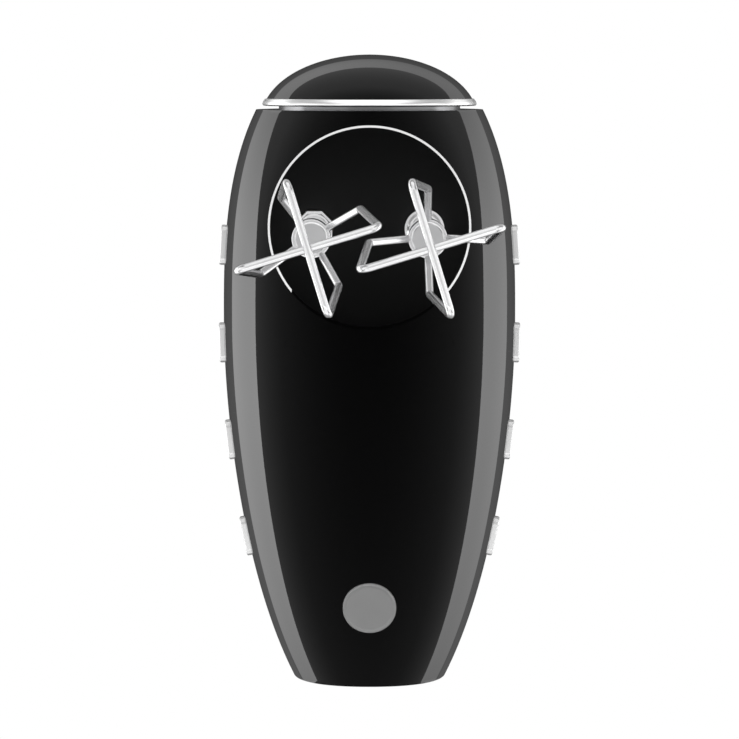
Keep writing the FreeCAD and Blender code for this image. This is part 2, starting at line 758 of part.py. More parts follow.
def display_lens():
    """Clear window, flush in the panel."""
    solid = box(-DISPLAY["half_x"], DISPLAY["half_x"], panel_y - 2.6, panel_y + 0.1,
                DISPLAY["z"] - DISPLAY["half_z"], DISPLAY["z"] + DISPLAY["half_z"])
    return feature("display_lens", solid)


def display_module():
    """Lit digit block on the board, behind the window."""
    solid = box(-DISPLAY["half_x"] + 0.5, DISPLAY["half_x"] - 0.5, board_front, panel_y - 3,
                DISPLAY["z"] - DISPLAY["half_z"] + 0.5, DISPLAY["z"] + DISPLAY["half_z"] - 0.5)
    return feature("display_module", solid)


def key(name, z):
    """A rounded key with a flange under the panel that keeps it in."""
    half_x, half_z = s("button_half_x"), s("button_half_z")
    top = panel_y + s("button_proud")
    cap = rounded_box(-half_x, half_x, flange_low, top, z - half_z, z + half_z, 1.5, Y_AXIS)
    rim = [e for e in cap.Edges if abs(e.CenterOfMass.y - top) < 1e-6]
    cap = cap.makeFillet(0.5, rim)
    flange = box(-half_x - FLANGE, half_x + FLANGE, flange_low, flange_low + 1.5,
                 z - half_z - FLANGE, z + half_z + FLANGE)
    return feature(name, fuse([cap, flange]))


def turbo_button():
    """Round button, turned, with the same kind of flange."""
    radius = s("turbo_radius")
    top = panel_y + s("button_proud")
    points = [V(0, flange_low, 0), V(radius + FLANGE, flange_low, 0),
              V(radius + FLANGE, flange_low + 1.5, 0), V(radius, flange_low + 1.5, 0),
              V(radius, top - 0.6, 0), V(radius - 0.6, top, 0), V(0, top, 0)]
    solid = revolve(points, V(0, 0, 0), Y_AXIS)
    solid.translate(V(0, 0, TURBO_Z))
    return feature("turbo_button", solid)


def control_board():
    """Circuit board of the controls."""
    return feature("control_board", box(-8.5, 8.5, board_back, board_front, s("panel_low") + 0.5,
                                        s("panel_high") - 0.5))


def key_switches():
    """Three small switches under the keys."""
    travel_end = flange_low - s("button_proud")
    pieces = [box(-2.5, 2.5, board_front, travel_end - gap, z - 2.5, z + 2.5)
              for z in (UP_Z, DOWN_Z, TURBO_Z)]
    return feature("key_switches", Part.makeCompound(pieces))


control_panel()
display_lens()
display_module()
key("speed_up_button", UP_Z)
key("speed_down_button", DOWN_Z)
turbo_button()
control_board()
key_switches()

# ---------------------------------------------------------------- ejector
button_base = out_y + 1.5
plate_y = s("plate_back")
pin_tip = s("case_back") - 4


def eject_button():
    """Rounded thumb button with a flange inside the handle."""
    top = out_y + s("handle_half_depth") + 2.5
    cap = rounded_box(-EJECT_HALF_X, EJECT_HALF_X, button_base, top, eject_z - EJECT_HALF_Z,
                      eject_z + EJECT_HALF_Z, 2.7, Y_AXIS)
    rim = [e for e in cap.Edges if abs(e.CenterOfMass.y - top) < 1e-6]
    cap = cap.makeFillet(1.2, rim)
    flange = box(-EJECT_HALF_X - FLANGE, EJECT_HALF_X + FLANGE, button_base, button_base + 1.5,
                 eject_z - EJECT_HALF_Z - FLANGE, eject_z + EJECT_HALF_Z + FLANGE)
    return feature("eject_button", fuse([cap, flange]))


def eject_rod():
    """Straight rod from the button to the plate, through the handle's upper root."""
    return feature("eject_rod", cylinder(s("eject_rod_radius"),
                                         plate_y + s("eject_plate_thickness"), button_base,
                                         z=s("eject_rod_height")))


def eject_plate():
    """Plate with two pins that reach into the spindles behind the beater shafts."""
    plate = rounded_box(-half_spacing - 6, half_spacing + 6, plate_y,
                        plate_y + s("eject_plate_thickness"), drive_z - 6,
                        s("eject_rod_height") + 5, 3.0, Y_AXIS)
    pins = [cylinder(s("pin_radius"), pin_tip, plate_y + 1, x=side * half_spacing, z=drive_z)
            for side in (-1, 1)]
    return feature("eject_plate", fuse([plate] + pins))


def eject_spring():
    """Return spring between the gear case and the plate, drawn at its pressed length."""
    wire, mean, turns = 0.4, 4.0, 3
    length = plate_y - s("case_back") - s("eject_travel") - gap
    start = s("case_back") + 1.2 * wire
    rise = (length - 2.4 * wire) / turns
    steps = 16 * turns
    line = Part.BSplineCurve()
    line.interpolate([V(mean * math.cos(2 * math.pi * i * turns / steps), start + rise * i * turns / steps,
                        drive_z + 4 + mean * math.sin(2 * math.pi * i * turns / steps))
                      for i in range(steps + 1)])
    ends = line.tangent(line.FirstParameter)[0]
    section = Part.Wire(Part.makeCircle(wire, line.value(line.FirstParameter), ends))
    coil = Part.Wire(line.toShape()).makePipeShell([section], True, True)
    return feature("eject_spring", coil)


eject_button()
eject_rod()
eject_plate()
eject_spring()

# ---------------------------------------------------------------- worm and wheels
module = s("tooth_module")
axial_pitch = math.pi * module
wheel_pitch_radius = half_spacing - s("worm_radius")
PRESSURE = math.tan(math.radians(20))
drive_mid = s("drive_mid")
teeth = int(s("wheel_teeth"))
worm_root = s("worm_radius") - 1.25 * module
worm_tip = s("worm_radius") + module
worm_low = drive_z - 12.0
worm_high = drive_z + 11.5


def worm():
    """Single-start worm: a core with a trapezoid thread swept along a helix."""
    half_pitch_width = axial_pitch / 4 - s("tooth_gap") / 2
    turns = 4.5
    start = drive_z + axial_pitch / 2 - 3 * axial_pitch
    root = worm_root - 0.2
    points = []
    for radius, sign in ((root, -1), (worm_tip, -1), (worm_tip, 1), (root, 1)):
        half = half_pitch_width - (radius - s("worm_radius")) * PRESSURE
        points.append(V(radius, 0, sign * half))
    helix = Part.Wire(Part.makeHelix(axial_pitch, turns * axial_pitch, s("worm_radius")))
    outline = Part.makePolygon(points + [points[0]])
    thread = helix.makePipeShell([outline], True, True)
    thread.translate(V(0, 0, start))
    core = cylinder(worm_root, worm_low, worm_high, axis="z")
    bore = cylinder(s("motor_shaft_radius") / 2, worm_low - 1, worm_high + 1, axis="z")
    solid = core.fuse(thread).cut(bore)
    solid.translate(V(0, drive_mid, 0))
    return feature("worm", solid)


def wheel(name, side, phase):
    """Worm wheel: slanted straight-flanked teeth that follow the worm's lead."""
    root, tip = wheel_pitch_radius - 1.25 * module, wheel_pitch_radius + module
    width = s("wheel_width")
    tooth_width = axial_pitch / 2 - s("tooth_gap")
    lean = math.degrees(axial_pitch / (2 * math.pi * s("worm_radius")) / wheel_pitch_radius)
    outline = []
    for radius, sign in ((root - 0.3, -1), (tip, -1), (tip, 1), (root - 0.3, 1)):
        half = tooth_width / 2 - (radius - wheel_pitch_radius) * PRESSURE
        outline.append(V(radius, 0, sign * half))
    ends = []
    for along in (-width / 2, width / 2):
        wire = Part.makePolygon(outline + [outline[0]])
        wire.rotate(V(0, 0, 0), Y_AXIS, phase + lean * along)
        wire.translate(V(0, along, 0))
        ends.append(wire)
    tooth = Part.makeLoft(ends, True, True)
    pieces = [cylinder(root, -width / 2, width / 2)]
    for i in range(teeth):
        copy = tooth.copy()
        copy.rotate(V(0, 0, 0), Y_AXIS, 360.0 * i / teeth)
        pieces.append(copy)
    solid = pieces[0].multiFuse(pieces[1:])
    solid = solid.cut(cylinder(s("spindle_radius"), -width, width))
    solid.translate(V(side * half_spacing, drive_mid, drive_z))
    return feature(name, solid)


half_tooth = 180.0 / teeth
worm()
wheel("worm_wheel_left", -1, half_tooth)
wheel("worm_wheel_right", 1, 0.0 if teeth % 2 == 0 else half_tooth)


def spindle(name, side):
    """Hollow spindle that carries a wheel and takes a beater shaft, slotted for its wings."""
    x = side * half_spacing
    front, back = s("spindle_front"), s("case_back")
    solid = tube(s("spindle_radius"), s("shaft_radius") + s("running_gap"), front, back, x=x,
                 z=drive_z)
    reach = s("wing_radius") + s("slot_gap")
    half = s("wing_width") / 2 + s("slot_gap")
    solid = solid.cut(box(x - reach, x + reach, front, front / 2, drive_z - half, drive_z + half))
    return feature(name, solid)


def spindle_bushes():
    """Four sintered bushes, two for each spindle."""
    inner = s("spindle_radius") + s("running_gap")
    pieces = []
    for side in (-1, 1):
        for start in (s("case_front"), s("case_back") - s("bush_length")):
            pieces.append(tube(inner + s("bush_wall"), inner, start, start + s("bush_length"),
                               x=side * half_spacing, z=drive_z))
    return feature("spindle_bushes", Part.makeCompound(pieces))


for label, side in (("spindle_left", -1), ("spindle_right", 1)):
    spindle(label, side)
spindle_bushes()

# ---------------------------------------------------------------- gear case
bush_outer = s("spindle_radius") + s("running_gap") + s("bush_wall")
case_screw_places = [(side * (s("case_half") - back_off), z) for side in (-1, 1)
                     for back_off, z in ((5.0, s("case_low") + 4), (2.8, s("case_high") - 3.5))]
CASE_GRIP = 6.0
motor_y = s("motor_mid")


def case_half(name, front, back, screw_hole):
    """One half of the gear case: a block hollowed for wheels, worm, bearing and bushes."""
    solid = rounded_box(-s("case_half"), s("case_half"), front, back, s("case_low"),
                        s("case_high"), 3.0, Y_AXIS)
    wheel_room = wheel_pitch_radius + module + 0.9
    cavity = s("bush_length")
    worm_room = worm_tip + 1.0
    cuts = []
    for side in (-1, 1):
        x = side * half_spacing
        cuts.append(cylinder(wheel_room, s("case_front") + cavity, s("case_back") - cavity, x=x,
                             z=drive_z))
        cuts.append(cylinder(bush_outer, s("case_front"), s("case_back"), x=x, z=drive_z))
        cuts.append(cylinder(s("bolt_radius"), s("case_low") - 1, s("case_low") + 8,
                             x=side * s("bolt_offset"), y=motor_y, axis="z"))
    cuts.append(cylinder(worm_room, worm_low - 1, worm_high + 1, y=drive_mid, axis="z"))
    cuts.append(cylinder(s("motor_shaft_radius") + 0.5, s("case_low") - 1, worm_low, y=motor_y,
                         axis="z"))
    cuts.append(cylinder(s("bearing_radius"), s("case_low") + 1,
                         s("case_low") + 1 + s("bearing_width"), y=motor_y, axis="z"))
    cuts.append(cylinder(s("motor_shaft_radius") / 2 + s("running_gap"), worm_high,
                         s("case_high") + 1, y=motor_y, axis="z"))
    for x, z in case_screw_places:
        cuts.append(cylinder(screw_hole, front, back, x=x, z=z))
    for cutter in cuts:
        solid = solid.cut(cutter)
    return feature(name, solid)


case_half("gear_case", s("case_front"), drive_mid, s("screw_radius"))
case_half("gear_case_cover", drive_mid, s("case_back"), s("screw_radius") + s("screw_clearance"))
feature("case_screws", Part.makeCompound(
    [screw(x, z, s("case_back"), -1, s("case_back") - drive_mid + CASE_GRIP)
     for x, z in case_screw_places]))

# ---------------------------------------------------------------- motor
stator_low, stator_high = s("stator_low"), s("stator_high")
bore_radius = s("armature_radius") + s("air_gap")
slot_outer = bore_radius + 5.0
SLOT_FROM, SLOT_TO = 42.0, 62.0


def sector(inner, outer, low, high, start, end):
    """Part of a ring about the motor axis between two angles, measured from +X."""
    def wedge(radius):
        solid = Part.makeCylinder(radius, high - low, V(0, 0, low), Z_AXIS, end - start)
        solid.rotate(V(0, 0, 0), Z_AXIS, start)
        return solid
    solid = wedge(outer).cut(cylinder(inner, low - 1, high + 1, axis="z"))
    solid.translate(V(0, motor_y, 0))
    return solid


def stator_core():
    """Laminated field core: a rounded block with two poles and four coil slots."""
    solid = rounded_box(-s("stator_half_x"), s("stator_half_x"), motor_y - s("stator_half_y"),
                        motor_y + s("stator_half_y"), stator_low, stator_high, 8.0, Z_AXIS)
    solid = solid.cut(cylinder(bore_radius, stator_low, stator_high, y=motor_y, axis="z"))
    for pole in (90, 270):
        for start in (pole - SLOT_TO, pole + SLOT_FROM):
            solid = solid.cut(sector(bore_radius - 0.5, slot_outer, stator_low, stator_high, start,
                                     start + SLOT_TO - SLOT_FROM))
    for side in (-1, 1):
        solid = solid.cut(cylinder(s("bolt_radius"), stator_low, stator_high,
                                   x=side * s("bolt_offset"), y=motor_y, axis="z"))
    return feature("stator_core", solid)


def field_coils():
    """Two saddle windings, each round one pole."""
    end_turn = 7.0
    pieces = []
    for pole in (90, 270):
        coil = sector(bore_radius + 0.4, slot_outer, stator_low - end_turn,
                      stator_high + end_turn, pole - SLOT_TO, pole + SLOT_TO)
        window = sector(bore_radius - 1, slot_outer + 1, stator_low - 1, stator_high + 1,
                        pole - SLOT_FROM, pole + SLOT_FROM)
        pieces.append(coil.cut(window))
    return feature("field_coils", Part.makeCompound(pieces))


def armature_core():
    """Slotted stack of plates on the shaft, as a design body with a round pattern of slots."""
    body = design_body("armature_core", upright(0, motor_y, stator_low + 1))
    disc = sketch_on(body, "XY_Plane")
    draw_circle(disc, "armature_radius")
    draw_circle(disc, "motor_shaft_radius")
    pad(body, disc, "stator_high - stator_low - 2")
    slot = sketch_on(body, "XY_Plane")
    draw_rectangle(slot, "2.5", "0.9", "armature_radius - 1.5", "0")
    cutter = pocket(body, slot, "stator_high - stator_low - 2")
    repeat_round(body, cutter, slot, 12)


def armature_windings():
    """End turns of the armature, one at each end of the core."""
    reach, radius = 7.0, 13.5
    pieces = []
    for low in (stator_low + 1 - reach, stator_high - 1):
        ring = tube(radius, s("motor_shaft_radius"), low, low + reach, y=motor_y, axis="z")
        rims = [e for e in ring.Edges if len(e.Vertexes) == 1
                and abs(e.Curve.Radius - radius) < 1e-6]
        pieces.append(ring.makeFillet(2.0, rims))
    return feature("armature_windings", Part.makeCompound(pieces))


def commutator():
    """Copper segment ring with saw cuts."""
    body = design_body("commutator", upright(0, motor_y, s("shaft_low") + 9))
    disc = sketch_on(body, "XY_Plane")
    draw_circle(disc, "commutator_radius")
    draw_circle(disc, "motor_shaft_radius")
    pad(body, disc, "11")
    cut = sketch_on(body, "XY_Plane")
    draw_rectangle(cut, "1", "0.3", "commutator_radius", "0")
    cutter = pocket(body, cut, "11")
    repeat_round(body, cutter, cut, 18)


def motor_shaft():
    """Stepped shaft: full size through the motor, half size under the worm."""
    thick = cylinder(s("motor_shaft_radius"), s("shaft_low") + 0.4, worm_low, y=motor_y, axis="z")
    thin = cylinder(s("motor_shaft_radius") / 2, worm_low, s("case_high") - 1, y=motor_y, axis="z")
    return feature("motor_shaft", thick.fuse(thin))


def motor_bearings():
    """Plain bearings at both ends of the thick part of the shaft."""
    pieces = [tube(s("bearing_radius"), s("motor_shaft_radius") + s("running_gap"), low,
                   low + s("bearing_width"), y=motor_y, axis="z")
              for low in (s("shaft_low"), s("case_low") + 1)]
    return feature("motor_bearings", Part.makeCompound(pieces))


def bearing_bracket():
    """Bracket across the housing that holds the lower bearing and the brush holders."""
    low, high = s("shaft_low") - 2, s("shaft_low") + 6
    hub = cylinder(s("bearing_radius") + 3, low, high, y=motor_y, axis="z")
    arms = box(-BIG, BIG, motor_y - 5, motor_y + 5, low, low + 5).common(inner_body)
    posts = [box(side * 19 - 4, side * 19 + 4, motor_y - 4, motor_y + 4, low + 5,
                 s("shaft_low") + 9) for side in (-1, 1)]
    solid = fuse([hub, arms] + posts)
    solid = solid.cut(cylinder(s("bearing_radius"), s("shaft_low"), high + 1, y=motor_y, axis="z"))
    return feature("bearing_bracket", solid)


def brush_holders():
    """Brass boxes for the brushes, one on each side of the commutator."""
    low = s("shaft_low") + 9
    pieces = []
    for side in (-1, 1):
        near, far = side * 12.0, side * 26.0
        outer = box(min(near, far), max(near, far), motor_y - 4, motor_y + 4, low, low + 8)
        room = box(min(near, far) - 1, max(near, far) + 1, motor_y - 3, motor_y + 3, low + 1,
                   low + 7)
        pieces.append(outer.cut(room))
    return feature("brush_holders", Part.makeCompound(pieces))


def carbon_brushes():
    """Carbon blocks that ride on the commutator."""
    low = s("shaft_low") + 9
    pieces = []
    for side in (-1, 1):
        near = side * (s("commutator_radius") + 0.25)
        far = side * (s("commutator_radius") + 11)
        pieces.append(box(min(near, far), max(near, far), motor_y - 3, motor_y + 3, low + 1,
                          low + 7))
    return feature("carbon_brushes", Part.makeCompound(pieces))


def cooling_fan():
    """Radial fan: a back plate, a hub and a round pattern of blades."""
    body = design_body("cooling_fan", upright(0, motor_y, s("fan_low")))
    disc = sketch_on(body, "XY_Plane")
    draw_circle(disc, "fan_radius")
    draw_circle(disc, "motor_shaft_radius")
    pad(body, disc, "1.2")
    hub = sketch_on(body, "XY_Plane")
    draw_circle(hub, "motor_shaft_radius + 3")
    draw_circle(hub, "motor_shaft_radius")
    pad(body, hub, "fan_height")
    blade = sketch_on(body, "XY_Plane")
    draw_rectangle(blade, "(fan_radius - motor_shaft_radius - 3) / 2", "0.6",
                   "(fan_radius + motor_shaft_radius + 1) / 2", "0")
    vane = pad(body, blade, "fan_height")
    repeat_round(body, vane, blade, 11)


def motor_bolts():
    """Two long bolts through the field core into the gear case."""
    low, high = stator_low - 3, s("case_low") + 8
    pieces = []
    for side in (-1, 1):
        x = side * s("bolt_offset")
        shank = cylinder(s("bolt_radius"), low, high, x=x, y=motor_y, axis="z")
        head = cylinder(s("bolt_radius") * 1.5, low, stator_low, x=x, y=motor_y, axis="z")
        pieces.append(shank.fuse(head))
    return feature("motor_bolts", Part.makeCompound(pieces))


def power_board():
    """Speed control board behind the brushes."""
    low = s("shaft_low") + 6
    return feature("power_board", box(-16, 16, s("case_back") + 10,
                                      s("case_back") + 10 + s("board_thickness"), low, low + 22))


for build in (stator_core, field_coils, armature_core, armature_windings, commutator, motor_shaft,
              motor_bearings, bearing_bracket, brush_holders, carbon_brushes, cooling_fan,
              motor_bolts, power_board):
    build()


# ---------------------------------------------------------------- beaters
def polar(x, radius, degrees, y):
    """A point beside a beater's axis, its angle counted from +X towards +Z."""
    angle = math.radians(degrees)
    return V(x + radius * math.cos(angle), y, drive_z + radius * math.sin(angle))


def wire_loop(x, corner, tip, rod_y, rod_angle, twist):
    """One bent wire: down one side, straight across under the hub, and up the other side."""
    arm = rod_angle + twist
    root = (s("hub_front") + s("hub_back")) / 2
    inside = s("hub_radius") - 2
    points = [polar(x, inside, arm, root), polar(x, corner, arm, s("upper_corner")),
              polar(x, tip, rod_angle, rod_y), polar(x, tip, rod_angle + 180, rod_y),
              polar(x, corner, arm + 180, s("upper_corner")), polar(x, inside, arm + 180, root)]
    path = rounded_path(points, [s("wire_bend")] * 4)
    direction = points[1] - points[0]
    section = Part.Wire(Part.makeCircle(s("wire_radius"), points[0], direction))
    return sweep(path, section)


def beater(name, side, twist, octagonal):
    """Shaft with wings, collar, hub and two crossing wire loops."""
    x = side * half_spacing
    shaft = cylinder(s("shaft_radius"), s("hub_front") + 1, s("shaft_end"), x=x, z=drive_z)
    reach = s("wing_radius")
    half = s("wing_width") / 2
    wing_y = s("spindle_front") / 2 - 6
    wings = box(x - reach, x + reach, wing_y, wing_y + 5, drive_z - half, drive_z + half)
    feature("beater_shaft_" + name, fuse([shaft, wings]))
    front, back = s("collar_front"), s("collar_back")
    if octagonal:
        corner = s("octagon_across") / 2 / math.cos(math.pi / 8)
        rim = [polar(x, corner, 22.5 + 45 * i, front) for i in range(8)]
        collar = polygon_face(rim).extrude(V(0, back - front, 0))
    else:
        collar = cylinder(s("collar_radius"), front, back, x=x, z=drive_z)
    collar = collar.cut(cylinder(s("shaft_radius"), front, back, x=x, z=drive_z))
    feature("beater_collar_" + name, collar)
    rod_b = s("rod_a") + s("rod_step")
    loop_a = wire_loop(x, s("corner_a"), s("tip_a"), s("rod_a"), s("rod_angle") + 90, twist)
    loop_b = wire_loop(x, s("corner_b"), s("tip_b"), rod_b, s("rod_angle"), twist)
    hub = cylinder(s("hub_radius"), s("hub_front"), s("hub_back"), x=x, z=drive_z)
    hub = hub.cut(cylinder(s("shaft_radius"), s("hub_front") + 1, s("hub_back"), x=x, z=drive_z))
    hub = hub.cut(loop_a).cut(loop_b)
    feature("beater_hub_" + name, hub)
    shaft_solid = cylinder(s("shaft_radius"), s("hub_front") + 1, s("hub_back"), x=x, z=drive_z)
    feature("wire_loop_a_" + name, loop_a.cut(shaft_solid))
    feature("wire_loop_b_" + name, loop_b.cut(shaft_solid))


beater("left", -1, s("arm_twist"), True)
beater("right", 1, -s("arm_twist"), False)

# ---------------------------------------------------------------- check and export
doc.recompute()
for obj in doc.Objects:
    if "Invalid" in obj.State or "Error" in obj.State:
        raise RuntimeError("%s failed: %s" % (obj.Label, obj.State))
for obj in parts:
    if obj.Shape.isNull() or not obj.Shape.isValid():
        raise RuntimeError("%s has no valid shape" % obj.Label)
os.makedirs("parts", exist_ok=True)
for obj in parts:
    obj.Shape.exportStep(os.path.join("parts", obj.Label + ".step"))
print("%d sub-parts written" % len(parts))
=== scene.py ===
"""Looks for the retro hand mixer: finishes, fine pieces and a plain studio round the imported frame.

Everything is in metres in the frame's own axes: +Z up to the nose, -Y towards the beaters,
+Y the handle side, +X to the right seen from the beaters.
"""

import logging
import math
from dataclasses import dataclass
from enum import Enum

import bmesh
import bpy
import numpy as np
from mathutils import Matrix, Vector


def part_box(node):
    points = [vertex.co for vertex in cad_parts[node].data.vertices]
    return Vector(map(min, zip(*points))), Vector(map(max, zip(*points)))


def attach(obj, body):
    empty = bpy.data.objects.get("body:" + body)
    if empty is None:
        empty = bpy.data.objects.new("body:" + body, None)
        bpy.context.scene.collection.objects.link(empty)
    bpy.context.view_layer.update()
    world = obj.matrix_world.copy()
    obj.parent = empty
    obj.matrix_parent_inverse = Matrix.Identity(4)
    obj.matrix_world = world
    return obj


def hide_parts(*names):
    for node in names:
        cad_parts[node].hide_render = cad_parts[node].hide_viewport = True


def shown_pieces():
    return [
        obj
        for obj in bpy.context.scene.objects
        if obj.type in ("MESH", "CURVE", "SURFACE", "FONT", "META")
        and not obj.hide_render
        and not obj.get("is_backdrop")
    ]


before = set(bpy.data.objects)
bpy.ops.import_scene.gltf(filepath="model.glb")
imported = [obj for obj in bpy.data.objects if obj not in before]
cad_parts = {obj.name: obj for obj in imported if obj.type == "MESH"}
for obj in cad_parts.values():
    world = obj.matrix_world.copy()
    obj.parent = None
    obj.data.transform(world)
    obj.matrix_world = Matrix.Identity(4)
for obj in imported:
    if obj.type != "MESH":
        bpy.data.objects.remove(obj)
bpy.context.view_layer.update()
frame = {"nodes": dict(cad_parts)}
LOG = logging.getLogger("hand_mixer")

Colour = tuple[float, float, float]
Place = tuple[float, float, float]


# ---------------------------------------------------------------- node trees
class Wiring:
    """Short calls for filling one node tree."""

    def __init__(self, tree: bpy.types.NodeTree) -> None:
        """Keep the tree that the calls add to."""
        self.tree = tree

    def add(self, kind: str, settings: dict | None = None, **values: object) -> bpy.types.Node:
        """Add one node.

        Args:
            kind: the node's type name, without its ShaderNode start.
            settings: properties of the node itself.
            values: inputs by name, with an underscore for a space; a socket is linked.

        Returns:
            The new node.
        """
        node = self.tree.nodes.new("ShaderNode" + kind)
        for key, value in (settings or {}).items():
            setattr(node, key, value)
        for key, value in values.items():
            self.feed(node.inputs[key.replace("_", " ")], value)
        return node

    def feed(self, socket: bpy.types.NodeSocket, value: object) -> None:
        """Link a socket or set its value."""
        if isinstance(value, bpy.types.NodeSocket):
            self.tree.links.new(value, socket)
        elif socket.type == "RGBA":
            socket.default_value = (*value, 1.0)
        else:
            socket.default_value = value

    def pair(self, kind: str, operation: str, first: object, second: object) -> bpy.types.Node:
        """A node that works on two numbers or two vectors.

        Args:
            kind: "Math" or "VectorMath".
            operation: the node's operation.
            first: the first value or socket.
            second: the second value or socket.

        Returns:
            The node.
        """
        node = self.add(kind, {"operation": operation})
        self.feed(node.inputs[0], first)
        self.feed(node.inputs[1], second)
        return node

    def math(self, operation: str, first: object, second: object = 0.0) -> bpy.types.NodeSocket:
        """The answer of one sum of two numbers or sockets."""
        return self.pair("Math", operation, first, second).outputs[0]

    def own_place(self) -> bpy.types.NodeSocket:
        """The shaded point in its object's own axes."""
        return self.add("TexCoord").outputs["Object"]

    def noise(self, place: bpy.types.NodeSocket, scale: object, detail: float,
              roughness: float = 0.5) -> bpy.types.NodeSocket:
        """Cloud noise from 0 to 1 at a place."""
        return self.add("TexNoise", Vector=place, Scale=scale, Detail=detail,
                        Roughness=roughness).outputs[0]

    def blend(self, share: object, low: object, high: object) -> bpy.types.NodeSocket:
        """A colour between two colours.

        Args:
            share: 0 for the first colour, 1 for the second.
            low: the first colour or socket.
            high: the second colour or socket.

        Returns:
            The mixed colour's socket.
        """
        node = self.add("Mix", {"data_type": "RGBA"})
        self.feed(node.inputs[0], share)
        self.feed(node.inputs[6], low)
        self.feed(node.inputs[7], high)
        return node.outputs[2]


class EffectGroup:
    """A shared effect as a shader node group with named inputs and outputs."""

    def __init__(self, name: str, inputs: dict[str, object], outputs: dict[str, str]) -> None:
        """Make an empty group.

        Args:
            name: the group's name.
            inputs: each input's starting value; three numbers make a colour.
            outputs: each output's kind, "Color" or "Float".
        """
        self.tree = bpy.data.node_groups.new(name, "ShaderNodeTree")
        for key, value in inputs.items():
            kind = "Color" if isinstance(value, tuple) else "Float"
            socket = self.tree.interface.new_socket(key, in_out="INPUT",
                                                    socket_type="NodeSocket" + kind)
            socket.default_value = (*value, 1.0) if isinstance(value, tuple) else value
        for key, kind in outputs.items():
            self.tree.interface.new_socket(key, in_out="OUTPUT", socket_type="NodeSocket" + kind)
        self.wiring = Wiring(self.tree)
        self.given = self.tree.nodes.new("NodeGroupInput").outputs
        self.result = self.tree.nodes.new("NodeGroupOutput").inputs

    def place(self, wiring: Wiring, **values: object) -> bpy.types.NodeOutputs:
        """Use the group in a material.

        Args:
            wiring: the material's own tree.
            values: inputs by name, with an underscore for a space.

        Returns:
            The placed group's outputs.
        """
        node = wiring.tree.nodes.new("ShaderNodeGroup")
        node.node_tree = self.tree
        for key, value in values.items():
            wiring.feed(node.inputs[key.replace("_", " ")], value)
        return node.outputs


def moulded_group() -> EffectGroup:
    """Moulded or cast skin: cloudy colour, uneven gloss and a fine grain.

    Returns:
        A group with Colour, Roughness and Height.
    """
    group = EffectGroup("moulded_skin",
                        {"Colour": (0.5, 0.5, 0.5), "Cloud": (0.4, 0.4, 0.4), "Scale": 60.0,
                         "Roughness": 0.3, "Spread": 0.05, "Grain": 900.0},
                        {"Colour": "Color", "Roughness": "Float", "Height": "Float"})
    w, given = group.wiring, group.given
    place = w.own_place()
    cloud = w.noise(place, given["Scale"], 4.0, 0.55)
    streak = w.noise(place, w.math("MULTIPLY", given["Scale"], 5.0), 3.0, 0.6)
    w.feed(group.result["Colour"], w.blend(cloud, given["Colour"], given["Cloud"]))
    offset = w.math("MULTIPLY", w.math("SUBTRACT", streak, 0.5), given["Spread"])
    w.feed(group.result["Roughness"], w.math("ADD", given["Roughness"], offset))
    w.feed(group.result["Height"], w.noise(place, given["Grain"], 2.0))
    return group


def drawn_group() -> EffectGroup:
    """Drawn or brushed metal: long fine lines along one axis, with a little stain.

    Returns:
        A group with Colour, Roughness and Height.
    """
    group = EffectGroup("drawn_lines",
                        {"Colour": (0.7, 0.7, 0.7), "Cloud": (0.5, 0.5, 0.5), "Roughness": 0.2,
                         "Spread": 0.1, "Along X": 300.0, "Along Y": 300.0, "Along Z": 300.0},
                        {"Colour": "Color", "Roughness": "Float", "Height": "Float"})
    w, given = group.wiring, group.given
    place = w.own_place()
    pull = w.add("CombineXYZ", X=given["Along X"], Y=given["Along Y"], Z=given["Along Z"])
    stretched = w.pair("VectorMath", "MULTIPLY", place, pull.outputs[0])
    lines = w.noise(stretched.outputs[0], 1.0, 5.0, 0.6)
    stain = w.noise(place, 45.0, 5.0, 0.6)
    shade = w.math("MULTIPLY", w.math("ADD", lines, stain), 0.5)
    w.feed(group.result["Colour"], w.blend(shade, given["Cloud"], given["Colour"]))
    offset = w.math("MULTIPLY", w.math("SUBTRACT", lines, 0.5), given["Spread"])
    w.feed(group.result["Roughness"], w.math("ADD", given["Roughness"], offset))
    w.feed(group.result["Height"], lines)
    return group


def layered_group() -> EffectGroup:
    """Even bands across one direction, as stacked sheets or wound wire have.

    Returns:
        A group with Colour and Height.
    """
    group = EffectGroup("layered_bands",
                        {"Colour": (0.5, 0.5, 0.5), "Gap": (0.1, 0.1, 0.1), "Pitch": 0.0005,
                         "Lean X": 0.0, "Lean Y": 0.0, "Lean Z": 1.0},
                        {"Colour": "Color", "Height": "Float"})
    w, given = group.wiring, group.given
    place = w.own_place()
    lean = w.add("CombineXYZ", X=given["Lean X"], Y=given["Lean Y"], Z=given["Lean Z"])
    along = w.pair("VectorMath", "DOT_PRODUCT", place, lean.outputs[0])
    turns = w.math("DIVIDE", along.outputs["Value"], given["Pitch"])
    wobble = w.noise(place, 180.0, 2.0)
    turns = w.math("ADD", turns, w.math("MULTIPLY", wobble, 0.35))
    height = w.math("ABSOLUTE", w.math("SINE", w.math("MULTIPLY", turns, math.pi)))
    # Colour darkens to Gap in the troughs between bands: painted shade between the copper wire's
    # turns, and the dark joints between the laminate's sheets.
    shade = w.math("MULTIPLY", w.math("POWER", height, 0.6),
                   w.math("ADD", w.math("MULTIPLY", wobble, 0.5), 0.7))
    w.feed(group.result["Colour"], w.blend(shade, given["Gap"], given["Colour"]))
    w.feed(group.result["Height"], height)
    return group


